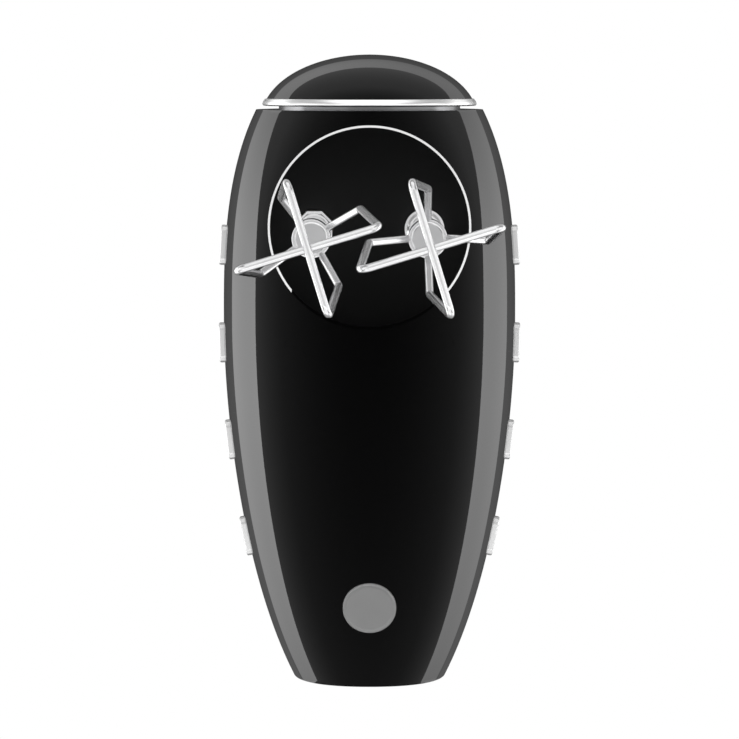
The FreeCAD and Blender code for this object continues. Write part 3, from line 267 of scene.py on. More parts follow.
def rub_group() -> EffectGroup:
    """Rubbed edges: a mask that is 1 where the surface turns sharply, broken up by noise.

    Returns:
        A group with Mask.
    """
    group = EffectGroup("rubbed_edges", {"Amount": 0.5}, {"Mask": "Float"})
    w, given = group.wiring, group.given
    true_normal = w.add("NewGeometry").outputs["Normal"]
    rounded = w.add("Bevel", {"samples": 4}, Radius=0.0004)
    turn = w.pair("VectorMath", "DOT_PRODUCT", true_normal, rounded.outputs[0])
    sharp = w.math("MULTIPLY", w.math("SUBTRACT", 1.0, turn.outputs["Value"]), 4.0)
    noise = w.noise(w.own_place(), 700.0, 3.0)
    broken = w.math("MULTIPLY", sharp, w.math("ADD", noise, 0.2))
    clamped = w.add("Clamp", Value=w.math("MULTIPLY", broken, given["Amount"]))
    w.feed(group.result["Mask"], clamped.outputs[0])
    return group


def dust_group() -> EffectGroup:
    """Fine dust specks that lie on faces looking up.

    Returns:
        A group with Mask.
    """
    group = EffectGroup("fine_dust", {"Amount": 0.1}, {"Mask": "Float"})
    w, given = group.wiring, group.given
    facing = w.add("SeparateXYZ", Vector=w.add("NewGeometry").outputs["Normal"])
    up = w.add("MapRange", Value=facing.outputs["Z"])
    place = w.own_place()
    dots = w.add("MapRange", Value=w.noise(place, 2600.0, 1.0), From_Min=0.62, From_Max=0.75)
    drift = w.noise(place, 55.0, 3.0)
    lying = w.math("MULTIPLY", up.outputs[0], w.math("MULTIPLY", dots.outputs[0], drift))
    w.feed(group.result["Mask"], w.math("MULTIPLY", lying, given["Amount"]))
    return group


# ---------------------------------------------------------------- finishes
def new_material(name: str) -> tuple[bpy.types.Material, Wiring, bpy.types.Node]:
    """A material with its own node tree.

    Args:
        name: the material's name.

    Returns:
        The material, its wiring and its Principled shader.
    """
    material = bpy.data.materials.new(name)
    material.use_nodes = True
    return material, Wiring(material.node_tree), material.node_tree.nodes["Principled BSDF"]


class Pattern(Enum):
    """What covers a finish: a moulded skin, drawn lines, or even bands."""

    MOULDED = "moulded"
    DRAWN = "drawn"
    BANDED = "banded"


class Effects:
    """The shared groups, each built once."""

    def __init__(self) -> None:
        """Build every group."""
        self.moulded = moulded_group()
        self.drawn = drawn_group()
        self.banded = layered_group()
        self.rub = rub_group()
        self.dust = dust_group()


@dataclass(frozen=True)
class Finish:
    """One material: its colours, gloss and the pattern over it.

    The colour drifts between colour and cloud, the gloss by spread, and grain is the width in
    metres of the fine relief, depth metres high. Lines or bands follow axis, pitch apart.
    """

    colour: Colour
    cloud: Colour
    roughness: float
    spread: float = 0.05
    metallic: float = 0.0
    grain: float = 0.0008
    depth: float = 0.00001
    pattern: Pattern = Pattern.MOULDED
    axis: Place = (0.0, 0.0, 1.0)
    pitch: float = 0.0005
    rub: float = 0.0
    rubbed: Colour = (0.5, 0.5, 0.5)
    dust: float = 0.0
    coat: float = 0.0
    ior: float = 1.5

    def build(self, name: str, effects: Effects) -> bpy.types.Material:
        """Make the material.

        Args:
            name: the material's name.
            effects: the shared groups.

        Returns:
            The material, with its Principled shader in its own tree.
        """
        material, w, shader = new_material(name)
        shader.inputs["Metallic"].default_value = self.metallic
        shader.inputs["IOR"].default_value = self.ior
        shader.inputs["Coat Weight"].default_value = self.coat
        shader.inputs["Coat Roughness"].default_value = 0.04
        colour, roughness, height = self.cover(w, effects)
        if self.rub:
            mask = effects.rub.place(w, Amount=self.rub)["Mask"]
            colour = w.blend(mask, colour, self.rubbed)
        if self.dust:
            mask = effects.dust.place(w, Amount=self.dust)["Mask"]
            colour = w.blend(mask, colour, (0.55, 0.54, 0.52))
            roughness = w.math("ADD", roughness, w.math("MULTIPLY", mask, 0.5))
        bump = w.add("Bump", Strength=1.0, Distance=self.depth, Height=height)
        w.feed(shader.inputs["Base Color"], colour)
        w.feed(shader.inputs["Roughness"], roughness)
        w.feed(shader.inputs["Normal"], bump.outputs[0])
        return material

    def cover(self, w: Wiring, effects: Effects) -> tuple[object, object, object]:
        """Lay the pattern.

        Args:
            w: the material's tree.
            effects: the shared groups.

        Returns:
            The colour, roughness and height to feed the shader.
        """
        if self.pattern is Pattern.DRAWN:
            fine, long = 1.0 / self.grain, 12.0
            pull = [long if part else fine for part in self.axis]
            drawn = effects.drawn.place(w, Colour=self.colour, Cloud=self.cloud,
                                        Roughness=self.roughness, Spread=self.spread,
                                        Along_X=pull[0], Along_Y=pull[1], Along_Z=pull[2])
            return drawn["Colour"], drawn["Roughness"], drawn["Height"]
        skin = effects.moulded.place(w, Colour=self.colour, Cloud=self.cloud,
                                     Roughness=self.roughness, Spread=self.spread,
                                     Grain=1.0 / self.grain)
        if self.pattern is Pattern.MOULDED:
            return skin["Colour"], skin["Roughness"], skin["Height"]
        bands = effects.banded.place(w, Colour=self.colour, Gap=self.cloud, Pitch=self.pitch,
                                     Lean_X=self.axis[0], Lean_Y=self.axis[1],
                                     Lean_Z=self.axis[2])
        return bands["Colour"], skin["Roughness"], bands["Height"]


FINISHES: dict[str, Finish] = {
    "gloss_black": Finish((0.0045, 0.0045, 0.0048), (0.0030, 0.0030, 0.0032), 0.03, 0.02,
                          grain=0.0011, depth=0.0000012, dust=0.05, rub=0.25,
                          rubbed=(0.03, 0.03, 0.03)),
    "neck_metal": Finish((0.24, 0.24, 0.245), (0.19, 0.19, 0.195), 0.26, 0.08, metallic=1.0,
                         grain=0.0002, depth=0.000001, pattern=Pattern.DRAWN, axis=(1, 1, 0)),
    "satin_black": Finish((0.016, 0.016, 0.017), (0.011, 0.011, 0.012), 0.38, 0.08,
                          grain=0.00035, depth=0.000008, rub=0.5, rubbed=(0.06, 0.06, 0.06)),
    "chrome": Finish((0.86, 0.87, 0.88), (0.80, 0.81, 0.82), 0.06, 0.04, metallic=1.0,
                     grain=0.0009, depth=0.0000006),
    "satin_chrome": Finish((0.90, 0.90, 0.90), (0.82, 0.82, 0.82), 0.30, 0.06, metallic=1.0,
                           grain=0.0004, depth=0.000001),
    "bar_chrome": Finish((0.62, 0.62, 0.62), (0.55, 0.55, 0.55), 0.30, 0.06, metallic=1.0,
                         grain=0.0004, depth=0.000001),
    # A darker, rougher copy of the beater steel for the hubs' sunk faces: painted shade in the
    # recess.
    "hub_metal": Finish((0.52, 0.52, 0.52), (0.36, 0.36, 0.37), 0.42, 0.14, metallic=1.0,
                        grain=0.0003, depth=0.000006),
    "steel": Finish((0.86, 0.86, 0.86), (0.42, 0.42, 0.43), 0.24, 0.16, metallic=1.0,
                    grain=0.00012, depth=0.000002, pattern=Pattern.DRAWN, axis=(0, 1, 0)),
    "foot_grey": Finish((0.35, 0.35, 0.35), (0.30, 0.30, 0.30), 0.5, 0.08, grain=0.0005,
                        depth=0.00001, rub=0.4, rubbed=(0.6, 0.6, 0.6)),
    "satin_white": Finish((0.70, 0.70, 0.69), (0.62, 0.62, 0.61), 0.4, 0.08, grain=0.0003,
                          depth=0.000006),
    "socket_black": Finish((0.006, 0.006, 0.0062), (0.004, 0.004, 0.0042), 0.34, 0.06,
                           grain=0.0004, depth=0.000005, rub=0.3, rubbed=(0.03, 0.03, 0.03)),
    "key_grey": Finish((0.30, 0.30, 0.31), (0.26, 0.26, 0.27), 0.42, 0.08, grain=0.0004,
                       depth=0.000008, rub=0.5, rubbed=(0.5, 0.5, 0.5)),
    "rubber": Finish((0.020, 0.020, 0.021), (0.013, 0.013, 0.013), 0.75, 0.12, grain=0.0003,
                     depth=0.00002),
    "laminate": Finish((0.33, 0.34, 0.36), (0.07, 0.07, 0.08), 0.42, 0.1, metallic=0.9,
                       depth=0.00012, pattern=Pattern.BANDED, pitch=0.0005),
    # Copper's second colour is the painted shade between the winding's turns.
    "copper": Finish((0.72, 0.30, 0.14), (0.20, 0.06, 0.02), 0.28, 0.1, metallic=1.0,
                     depth=0.0002, pattern=Pattern.BANDED, axis=(0.7, 0.7, 0.25), pitch=0.0006),
    "carbon": Finish((0.035, 0.035, 0.037), (0.020, 0.020, 0.021), 0.6, 0.2, grain=0.0002,
                     depth=0.00002),
    "board": Finish((0.025, 0.16, 0.06), (0.012, 0.09, 0.035), 0.35, 0.15, grain=0.0014,
                    depth=0.00002, coat=0.3),
    "nylon": Finish((0.78, 0.76, 0.70), (0.70, 0.67, 0.60), 0.42, 0.1, grain=0.0006,
                    depth=0.00001),
    "case_grey": Finish((0.20, 0.21, 0.22), (0.15, 0.16, 0.17), 0.48, 0.12, grain=0.0006,
                        depth=0.00002, rub=0.4, rubbed=(0.4, 0.4, 0.4)),
    "bronze": Finish((0.50, 0.33, 0.15), (0.33, 0.21, 0.10), 0.40, 0.15, metallic=1.0,
                     grain=0.0003, depth=0.00001),
    "zinc": Finish((0.62, 0.63, 0.62), (0.48, 0.49, 0.47), 0.30, 0.15, metallic=1.0,
                   grain=0.0005, depth=0.000006),
}


def smoked_window() -> bpy.types.Material:
    """Smoked clear plastic of the display window.

    Returns:
        A glass material with faint wipe marks in its gloss.
    """
    material, w, shader = new_material("smoked_window")
    shader.inputs["Base Color"].default_value = (0.45, 0.46, 0.48, 1.0)
    shader.inputs["Transmission Weight"].default_value = 1.0
    shader.inputs["IOR"].default_value = 1.49
    gloss = w.add("MapRange", Value=w.noise(w.own_place(), 220.0, 4.0), To_Min=0.02, To_Max=0.09)
    w.feed(shader.inputs["Roughness"], gloss.outputs[0])
    return material


def lit_digits() -> bpy.types.Material:
    """Lit segments of the display: pale, with soft cells across the light.

    Returns:
        An emitting material.
    """
    material, w, shader = new_material("lit_digits")
    glow = w.blend(w.noise(w.own_place(), 900.0, 2.0), (0.60, 0.85, 1.0), (0.85, 0.95, 1.0))
    w.feed(shader.inputs["Emission Color"], glow)
    w.feed(shader.inputs["Base Color"], glow)
    shader.inputs["Emission Strength"].default_value = 1.6
    return material


class Paints:
    """Every material by the record's slot name."""

    def __init__(self) -> None:
        """Build the groups and the materials, and dress the display's dark face."""
        effects = Effects()
        self.by_slot = {slot: finish.build(slot + "_finish", effects)
                        for slot, finish in FINISHES.items()}
        self.by_slot["window"] = smoked_window()
        self.by_slot["display"] = Finish((0.012, 0.013, 0.015), (0.008, 0.009, 0.010), 0.25,
                                         grain=0.0004).build("display_face", effects)
        self.digits = lit_digits()

    def dress(self, nodes: dict[str, bpy.types.Object]) -> None:
        """Give every CAD node the finish of its slot.

        Args:
            nodes: the frame's nodes by name.
        """
        for node in nodes.values():
            for slot in node.material_slots:
                finish = self.by_slot[slot.material.name.split(".")[0]]
                slot.link = "OBJECT"
                slot.material = finish
        for name in ("socket_trim", "nose_trim_ring"):
            nodes[name].material_slots[0].material = self.by_slot["satin_chrome"]
        for name in ("side_bars_left", "side_bars_right"):
            nodes[name].material_slots[0].material = self.by_slot["bar_chrome"]
        nodes["socket_plate"].material_slots[0].material = self.by_slot["socket_black"]


# ---------------------------------------------------------------- meshes
def grid_quads(rows: int, columns: int, round_columns: bool = False) -> np.ndarray:
    """Quads over a grid of points that is stored row by row.

    Args:
        rows: how many rows of points there are.
        columns: how many points a row has.
        round_columns: each row's last point joins its first.

    Returns:
        Four point numbers for each quad.
    """
    along = np.arange(columns if round_columns else columns - 1)
    row, column = np.meshgrid(np.arange(rows - 1), along, indexing="ij")
    next_row, next_column = row + 1, (column + 1) % columns
    quads = np.stack((row * columns + column, row * columns + next_column,
                      next_row * columns + next_column, next_row * columns + column), axis=-1)
    return quads.reshape(-1, 4)


def linked(name: str, data: bpy.types.ID) -> bpy.types.Object:
    """An object of a mesh, camera or lamp, linked to the scene.

    Args:
        name: the object's name.
        data: what it shows.

    Returns:
        The object.
    """
    made = bpy.data.objects.new(name, data)
    bpy.context.scene.collection.objects.link(made)
    return made


def mesh_object(name: str, points: np.ndarray, faces: np.ndarray) -> bpy.types.Object:
    """A linked mesh object at the origin.

    Args:
        name: the object's and the mesh's name.
        points: the vertices.
        faces: vertex numbers of faces that all have the same number of corners.

    Returns:
        The object.
    """
    mesh = bpy.data.meshes.new(name)
    count, sides = faces.shape
    mesh.vertices.add(len(points))
    mesh.vertices.foreach_set("co", points.astype(np.float32).ravel())
    mesh.loops.add(count * sides)
    mesh.loops.foreach_set("vertex_index", faces.astype(np.int32).ravel())
    mesh.polygons.add(count)
    mesh.polygons.foreach_set("loop_start", np.arange(0, count * sides, sides, dtype=np.int32))
    mesh.polygons.foreach_set("use_smooth", np.ones(count, dtype=bool))
    mesh.update(calc_edges=True)
    mesh.validate()
    return linked(name, mesh)


def closed_skin(name: str, rings: np.ndarray, start: np.ndarray,
                end: np.ndarray) -> bpy.types.Object:
    """A closed surface through rings of points, with a fan to a point at each end.

    Args:
        name: the object's name.
        rings: rings of points, as an array of rings by points by 3.
        start: the point that closes the first ring.
        end: the point that closes the last ring.

    Returns:
        The object, with its faces turned outwards.
    """
    count, around = rings.shape[:2]
    points = np.concatenate((start[None], rings.reshape(-1, 3), end[None]))
    step = np.arange(around)
    after = (step + 1) % around
    last = 1 + (count - 1) * around
    opening = np.stack((np.zeros(around, int), 1 + after, 1 + step), axis=1)
    closing = np.stack((np.full(around, len(points) - 1), last + step, last + after), axis=1)
    quads = 1 + grid_quads(count, around, round_columns=True)
    mesh = bpy.data.meshes.new(name)
    mesh.from_pydata(points.tolist(), [], opening.tolist() + quads.tolist() + closing.tolist())
    outward = bmesh.new()
    outward.from_mesh(mesh)
    bmesh.ops.recalc_face_normals(outward, faces=outward.faces)
    outward.to_mesh(mesh)
    outward.free()
    mesh.polygons.foreach_set("use_smooth", np.ones(len(mesh.polygons), dtype=bool))
    mesh.set_sharp_from_angle(angle=math.radians(40))
    return linked(name, mesh)


def frame_of(axis: np.ndarray) -> tuple[np.ndarray, np.ndarray, np.ndarray]:
    """Two directions square to an axis, and the axis.

    Args:
        axis: any direction.

    Returns:
        Three unit vectors; the first is level unless the axis is upright.
    """
    along = np.asarray(axis, float) / np.linalg.norm(axis)
    level = np.array((1.0, 0.0, 0.0)) if abs(along[0]) < 0.9 else np.array((0.0, 1.0, 0.0))
    first = level - along * (level @ along)
    first /= np.linalg.norm(first)
    return first, np.cross(along, first), along


def turned(name: str, profile: np.ndarray, centre: tuple, axis: tuple = (0, 0, 1),
           around: int = 192) -> bpy.types.Object:
    """A piece turned round an axis: each profile point (radius, height) makes a ring.

    Args:
        name: the object's name.
        profile: radius and height of points from one end of the axis to the other; the first
            and last lie on the axis.
        centre: where height 0 is.
        axis: the axis' direction.
        around: how many points a ring has.

    Returns:
        The object.
    """
    first, second, along = frame_of(np.array(axis))
    turn = np.linspace(0.0, 2 * math.pi, around, endpoint=False)
    ring = np.cos(turn)[:, None] * first + np.sin(turn)[:, None] * second
    points = (np.array(centre) + profile[:, 0, None, None] * ring
              + profile[:, 1, None, None] * along)
    return closed_skin(name, points[1:-1], points[0, 0], points[-1, 0])


def rounded_corners(corners: list[tuple[float, float]], radius: float,
                    steps: int = 6) -> np.ndarray:
    """A profile whose inner corners are rounded.

    Each corner becomes a quadratic curve from a point one radius before it to one after it, or
    half of the run where that is shorter.

    Args:
        corners: the profile's points.
        radius: how far from a corner the rounding starts.
        steps: how many parts a rounding has.

    Returns:
        The points of the rounded profile.
    """
    points = np.array(corners, float)
    back, here, on = points[:-2], points[1:-1], points[2:]
    reach_back = np.minimum(radius, 0.5 * np.linalg.norm(back - here, axis=1))[:, None]
    reach_on = np.minimum(radius, 0.5 * np.linalg.norm(on - here, axis=1))[:, None]
    begin = here + (back - here) / np.linalg.norm(back - here, axis=1)[:, None] * reach_back
    finish = here + (on - here) / np.linalg.norm(on - here, axis=1)[:, None] * reach_on
    share = np.linspace(0.0, 1.0, steps + 1)[None, :, None]
    curve = ((1 - share) ** 2 * begin[:, None] + 2 * share * (1 - share) * here[:, None]
             + share ** 2 * finish[:, None])
    return np.concatenate((points[:1], curve.reshape(-1, 2), points[-1:]))


def rounded_block(name: str, centre: tuple, half: tuple, edge: float = 0.25) -> bpy.types.Object:
    """A block with rounded edges: a ball whose sines and cosines are raised to the power edge.

    Args:
        name: the object's name.
        centre: its middle.
        half: half of its size along each axis.
        edge: 1 is an ellipsoid, and smaller is squarer.

    Returns:
        The object.
    """
    def squash(value: np.ndarray) -> np.ndarray:
        """A sine or cosine raised to the power edge, with its sign kept."""
        return np.sign(value) * np.abs(value) ** edge

    rise = np.linspace(-math.pi / 2, math.pi / 2, 27)[1:-1, None]
    turn = np.linspace(0.0, 2 * math.pi, 64, endpoint=False)[None, :]
    ring = np.stack((squash(np.cos(rise)) * squash(np.cos(turn)),
                     squash(np.cos(rise)) * squash(np.sin(turn)),
                     squash(np.sin(rise)) * np.ones_like(turn)), axis=-1)
    pole = np.array((0.0, 0.0, half[2]))
    return closed_skin(name, np.array(centre) + ring * half, np.array(centre) - pole,
                       np.array(centre) + pole)


def finish_piece(piece: bpy.types.Object, material: bpy.types.Material, body: str, slot: str,
                 *nodes: str) -> None:
    """Dress a piece and tie it to the frame.

    Args:
        piece: the new piece.
        material: its finish.
        body: the body that it rides on.
        slot: the record's slot; not used.
        nodes: the CAD nodes that it stands for.
    """
    piece.data.materials.clear()
    piece.data.materials.append(material)
    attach(piece, body)
    if nodes:
        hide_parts(*nodes)
    LOG.info("%s: %d faces on %s", piece.name, len(piece.data.polygons), body)


# ---------------------------------------------------------------- the body's form
@dataclass(frozen=True)
class BodyForm:
    """The egg-shaped body, as half widths and depths that swell and shrink with height.

    Between its ends each size follows mid * sqrt(1 - (1 - (end / mid)^2) * share^power), where
    share goes from 0 at the height of mid to 1 at the end. A level section is four cubic curves
    with handles of fullness times the half size. The half width and the two depths are each
    given as swell's sizes, from mid to power_high.
    """

    top: float = 0.1963
    wide: tuple = (0.0503, 0.123, 0.0265, 0.0389, 1.8, 2.8)
    fore: tuple = (0.047, 0.122, 0.025, 0.0389, 1.4, 2.2)
    back: tuple = (0.040, 0.130, 0.025, 0.0389, 1.6, 2.2)
    full_low: float = 0.64
    full_high: float = 0.5523

    @staticmethod
    def swell(z: np.ndarray, mid: float, at: float, low: float, high: float, power_low: float,
              power_high: float, top: float) -> np.ndarray:
        """One size at each height, by the class's formula.

        Args:
            z: the heights.
            mid: the largest size, and at: its height.
            low: the size at the heel, and high: the size at the top.
            power_low: the power below at, and power_high: the power above it.
            top: the body's height.

        Returns:
            The sizes.
        """
        below = z < at
        share = np.where(below, (at - z) / at, (z - at) / (top - at)).clip(0.0, 1.0)
        end = np.where(below, low, high)
        power = np.where(below, power_low, power_high)
        return mid * np.sqrt(1 - (1 - (end / mid) ** 2) * share ** power)

    def sizes(self, z: np.ndarray, front: np.ndarray) -> tuple:
        """Half width, depth and fullness at each height.

        Args:
            z: the heights.
            front: true where the point is on the beater side.

        Returns:
            Three arrays.
        """
        wide, fore, back = (self.swell(z, *size, self.top)
                            for size in (self.wide, self.fore, self.back))
        middle = self.wide[1]
        share = ((z - middle) / (self.top - middle)).clip(0.0, 1.0)
        return (wide, np.where(front, fore, back),
                self.full_low + (self.full_high - self.full_low) * share ** 2)

    @staticmethod
    def quarter(t: np.ndarray, k: np.ndarray) -> tuple[np.ndarray, np.ndarray]:
        """A quarter of a section of half size 1: a cubic with poles (1,0) (1,k) (k,1) (0,1)."""
        u = 1 - t
        return (u ** 3 + 3 * u * u * t + 3 * u * t * t * k,
                3 * u * u * t * k + 3 * u * t * t + t ** 3)

    def settle(self, points: np.ndarray) -> tuple[np.ndarray, np.ndarray]:
        """Move points level onto the surface, and find its normals there.

        The place t on the quarter comes from Newton steps on Y(t) u - X(t) v = 0, where (u, v)
        is the point over the half sizes. The normal is the cross product of the tangents along
        t and along z.

        Args:
            points: points near the surface.

        Returns:
            The moved points and the unit normals.
        """
        x, y, z = points.T
        front = y < 0
        wide, deep, full = self.sizes(z, front)
        u, v = np.abs(x) / wide, np.abs(y) / deep
        t = np.arctan2(v, u) / (math.pi / 2)
        step = 1e-5
        for _ in range(8):
            here = self.quarter(t, full)
            ahead = self.quarter(t + step, full)
            gap = here[1] * u - here[0] * v
            slope = ((ahead[1] * u - ahead[0] * v) - gap) / step
            t = (t - gap / slope).clip(0.0, 1.0)
        here = np.stack(self.quarter(t, full))
        scale = np.hypot(*here) / np.maximum(np.hypot(u, v), 1e-9)
        settled = np.stack((x * scale, y * scale, z), axis=1)

        def place(at: np.ndarray, height: np.ndarray) -> np.ndarray:
            """A point of the quarter at a height."""
            half, depth, fullness = self.sizes(height, front)
            across, along = self.quarter(at, fullness)
            return np.stack((half * across, depth * along, height), axis=1)

        rim = place(np.minimum(t + step, 1.0), z) - place(np.maximum(t - step, 0.0), z)
        rise = place(t, z + step) - place(t, z - step)
        normals = np.cross(rim, rise)
        normals /= np.linalg.norm(normals, axis=1)[:, None]
        normals[:, :2] *= np.stack((np.where(x < 0, -1, 1), np.where(front, -1, 1)), axis=1)
        return settled, normals


@dataclass
class BodyShells:
    """The two gloss housings, with the egg's outer faces made fine enough for clean gloss."""

    form: BodyForm
    near: float = 0.00012
    facing: float = 0.96
    rounds: int = 2

    def build(self, paints: Paints) -> None:
        """Make both shells and dress them."""
        for node, name in (("lower_housing", "front_shell"), ("upper_housing", "back_shell")):
            finish_piece(self.fine_copy(frame["nodes"][node], name),
                         paints.by_slot["gloss_black"], "housing", "gloss_black", node)

    def fine_copy(self, node: bpy.types.Object, name: str) -> bpy.types.Object:
        """A copy of a shell whose egg faces are split, laid on the form and given its normals.

        Each split cuts a triangle into four at the middles of its sides, and the middles are
        settled on the form.

        Args:
            node: the CAD shell.
            name: the copy's name.

        Returns:
            The new piece.
        """
        mesh = node.data
        corners = np.zeros(len(mesh.loops), np.int32)
        mesh.loops.foreach_get("vertex_index", corners)
        places = np.zeros(len(mesh.vertices) * 3, np.float32)
        mesh.vertices.foreach_get("co", places)
        normals = np.zeros(len(mesh.loops) * 3, np.float32)
        mesh.corner_normals.foreach_get("vector", normals)
        points = places.reshape(-1, 3)[corners].reshape(-1, 3, 3).astype(float)
        normals = normals.reshape(-1, 3, 3).astype(float)
        settled, exact = (part.reshape(-1, 3, 3) for part in
                          self.form.settle(points.reshape(-1, 3)))
        flat = np.cross(points[:, 1] - points[:, 0], points[:, 2] - points[:, 0])
        flat /= np.linalg.norm(flat, axis=1)[:, None] + 1e-15
        on_form = ((np.linalg.norm(settled - points, axis=2).max(axis=1) < self.near)
                   & ((flat[:, None] * exact).sum(axis=2).min(axis=1) > self.facing))
        LOG.info("%s: %d of %d faces lie on the form", name, on_form.sum(), len(points))
        outer = points[on_form]
        for _ in range(self.rounds):
            a, b, c = outer[:, 0], outer[:, 1], outer[:, 2]
            middles = [self.form.settle((p + q) / 2)[0] for p, q in ((a, b), (b, c), (c, a))]
            ab, bc, ca = middles
            outer = np.concatenate([np.stack(tri, axis=1) for tri in
                                    ((a, ab, ca), (ab, b, bc), (ca, bc, c), (ab, bc, ca))])
        outer_normals = self.form.settle(outer.reshape(-1, 3))[1]
        every = np.concatenate((outer.reshape(-1, 3), points[~on_form].reshape(-1, 3)))
        every_normal = np.concatenate((outer_normals, normals[~on_form].reshape(-1, 3)))
        made = mesh_object(name, every, np.arange(len(every)).reshape(-1, 3))
        made.data.normals_split_custom_set(every_normal.tolist())
        return made


@dataclass
class NosePieces:
    """Dome and bright ring, each turned round the upright axis."""

    apex: float = 0.215
    base: float = 0.1995
    drop: float = 0.022
    base_radius: float = 0.0355
    wall: float = 0.0022
    ring_radius: float = 0.0368
    ring_low: float = 0.1976
    ring_over: float = 0.0005

    def build(self, paints: Paints) -> None:
        """Make both pieces and dress them."""
        finish_piece(self.dome(), paints.by_slot["gloss_black"], "housing", "gloss_black",
                     "nose_cap")
        finish_piece(self.ring(), paints.by_slot["satin_chrome"], "housing", "chrome",
                     "nose_trim_ring")

    def arc(self, thinner: float) -> np.ndarray:
        """The dome's profile from its base to its apex, an ellipse.

        Args:
            thinner: how far inside the outer face it lies.

        Returns:
            Radius and height of its points.
        """
        centre = self.apex - self.drop
        low = (self.base - centre) / self.drop
        across = self.base_radius / math.sqrt(1 - low ** 2) - thinner
        down = self.drop - thinner
        start = math.asin((self.base - centre) / down)
        rise = np.linspace(start, math.pi / 2, 60)
        arc = np.stack((across * np.cos(rise), centre + down * np.sin(rise)), axis=1)
        arc[-1, 0] = 0.0
        return arc

    def dome(self) -> bpy.types.Object:
        """The dome: its outer arc, a small eased foot, and its inner arc back to the axis."""
        outer, inner = self.arc(0.0), self.arc(self.wall)
        foot = np.array(((self.base_radius - 0.00008, self.base + 0.00003),
                         (self.base_radius - 0.0004, self.base)))
        profile = np.concatenate((outer[::-1], foot, inner))
        return turned("dome", profile, (0.0, 0.0, 0.0), around=256)

    def ring(self) -> bpy.types.Object:
        """The bright ring: a flat band with eased edges, under the dome's foot."""
        edge, low, high = self.ring_radius, self.ring_low, self.base + self.ring_over
        corners = [(0.0, low), (edge - 0.0004, low), (edge, low + 0.0005),
                   (edge - 0.00025, low + 0.0013), (edge - 0.0009, high - 0.0001),
                   (edge - 0.0012, high), (0.0, high)]
        profile = rounded_corners(corners, 0.00022)
        return turned("nose_ring", profile, (0.0, 0.0, 0.0), around=256)


@dataclass
class FootDisc:
    """The round grey foot on the heel's slope, with a rolled rim and a slightly sunk face."""

    form: BodyForm
    radius: float = 0.009
    height: float = 0.029
    proud: float = 0.0008

    def build(self, paints: Paints) -> None:
        """Turn the disc about the surface's own normal.

        Args:
            paints: the materials.
        """
        place, normal = self.form.settle(np.array([(0.0, -0.04, self.height)]))
        rim, top = self.radius, self.proud
        corners = [(0.0, -0.0018), (rim, -0.0018), (rim, top), (rim - 0.0007, top),
                   (rim - 0.0011, top - 0.0002), (0.0, top - 0.00015)]
        disc = turned("foot_pad", rounded_corners(corners, 0.0003), tuple(place[0]),
                      tuple(normal[0]), around=128)
        finish_piece(disc, paints.by_slot["foot_grey"], "housing", "foot_grey", "foot_disc")


@dataclass
class BeaterHeads:
    """Hubs with a raised rim round a sunk face, and collars with a stepped front."""

    hub_radius: float = 0.006
    face_radius: float = 0.0046
    sunk: float = 0.0004
    eight_sided_half: float = 0.0058
    round_radius: float = 0.0065
    length: float = 0.008

    def build(self, paints: Paints) -> None:
        """Make the four pieces and the two hub faces, whose darker steel is painted shade.

        Args:
            paints: the materials.
        """
        steel = paints.by_slot["steel"]
        for side in ("left", "right"):
            body = f"{side}_beater"
            place = self.front(f"beater_hub_{side}")
            face, hub = self.face_radius, self.hub_radius
            corners = [(0.0, self.sunk), (face, self.sunk), (face + 0.0003, 0.0), (hub, 0.0),
                       (hub, self.length), (0.0, self.length)]
            finish_piece(turned(f"hub_{side}", rounded_corners(corners, 0.0003), place,
                                (0, 1, 0), 96), steel, body, "steel", f"beater_hub_{side}")
            # The hub face is a disc over the sunk face in the darker steel, painted shade that makes
            # it read darker than the rim.
            disc = np.array(((0.0, 0.00028), (face, 0.00030), (face, 0.001), (0.0, 0.001)))
            finish_piece(turned(f"hub_face_{side}", disc, place, (0, 1, 0), 96),
                         paints.by_slot["hub_metal"], body, "steel")
            collar = self.collar(f"collar_{side}", self.front(f"beater_collar_{side}"),
                                 side == "left")
            finish_piece(collar, steel, body, "steel", f"beater_collar_{side}")

    def front(self, node: str) -> Place:
        """The middle of a CAD part's front face."""
        low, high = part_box(node)
        return (low[0] + high[0]) / 2, low[1], (low[2] + high[2]) / 2

    def collar(self, name: str, place: tuple, eight_sided: bool) -> bpy.types.Object:
        """A stepped collar.

        An eight-sided one has the radius eight_sided_half / cos(a), where a is the turn from
        the middle of the nearest side.

        Args:
            name: the collar's name.
            place: the middle of its front face.
            eight_sided: whether its outside is an octagon.

        Returns:
            The piece.
        """
        corners = [(0.0, 0.0), (0.72, 0.0), (0.75, 0.0005), (0.86, 0.0006), (0.89, 0.0011),
                   (1.0, 0.0012), (1.0, self.length), (0.0, self.length)]
        shares, heights = rounded_corners(corners, 0.00025).T
        turn = np.linspace(0.0, 2 * math.pi, 192, endpoint=False)
        eighth = math.pi / 4
        octagon = self.eight_sided_half / np.cos((turn + eighth / 2) % eighth - eighth / 2)
        outline = octagon if eight_sided else np.full_like(turn, self.round_radius)
        outer = np.where(shares > 0.88, 1.0, 0.0)[:, None]
        radius = shares[:, None] * (outer * outline + (1 - outer) * self.eight_sided_half)
        points = np.array(place) + np.stack((radius * np.cos(turn),
                                             np.broadcast_to(heights[:, None], radius.shape),
                                             radius * np.sin(turn)), axis=-1)
        return closed_skin(name, points[1:-1], points[0, 0], points[-1, 0])


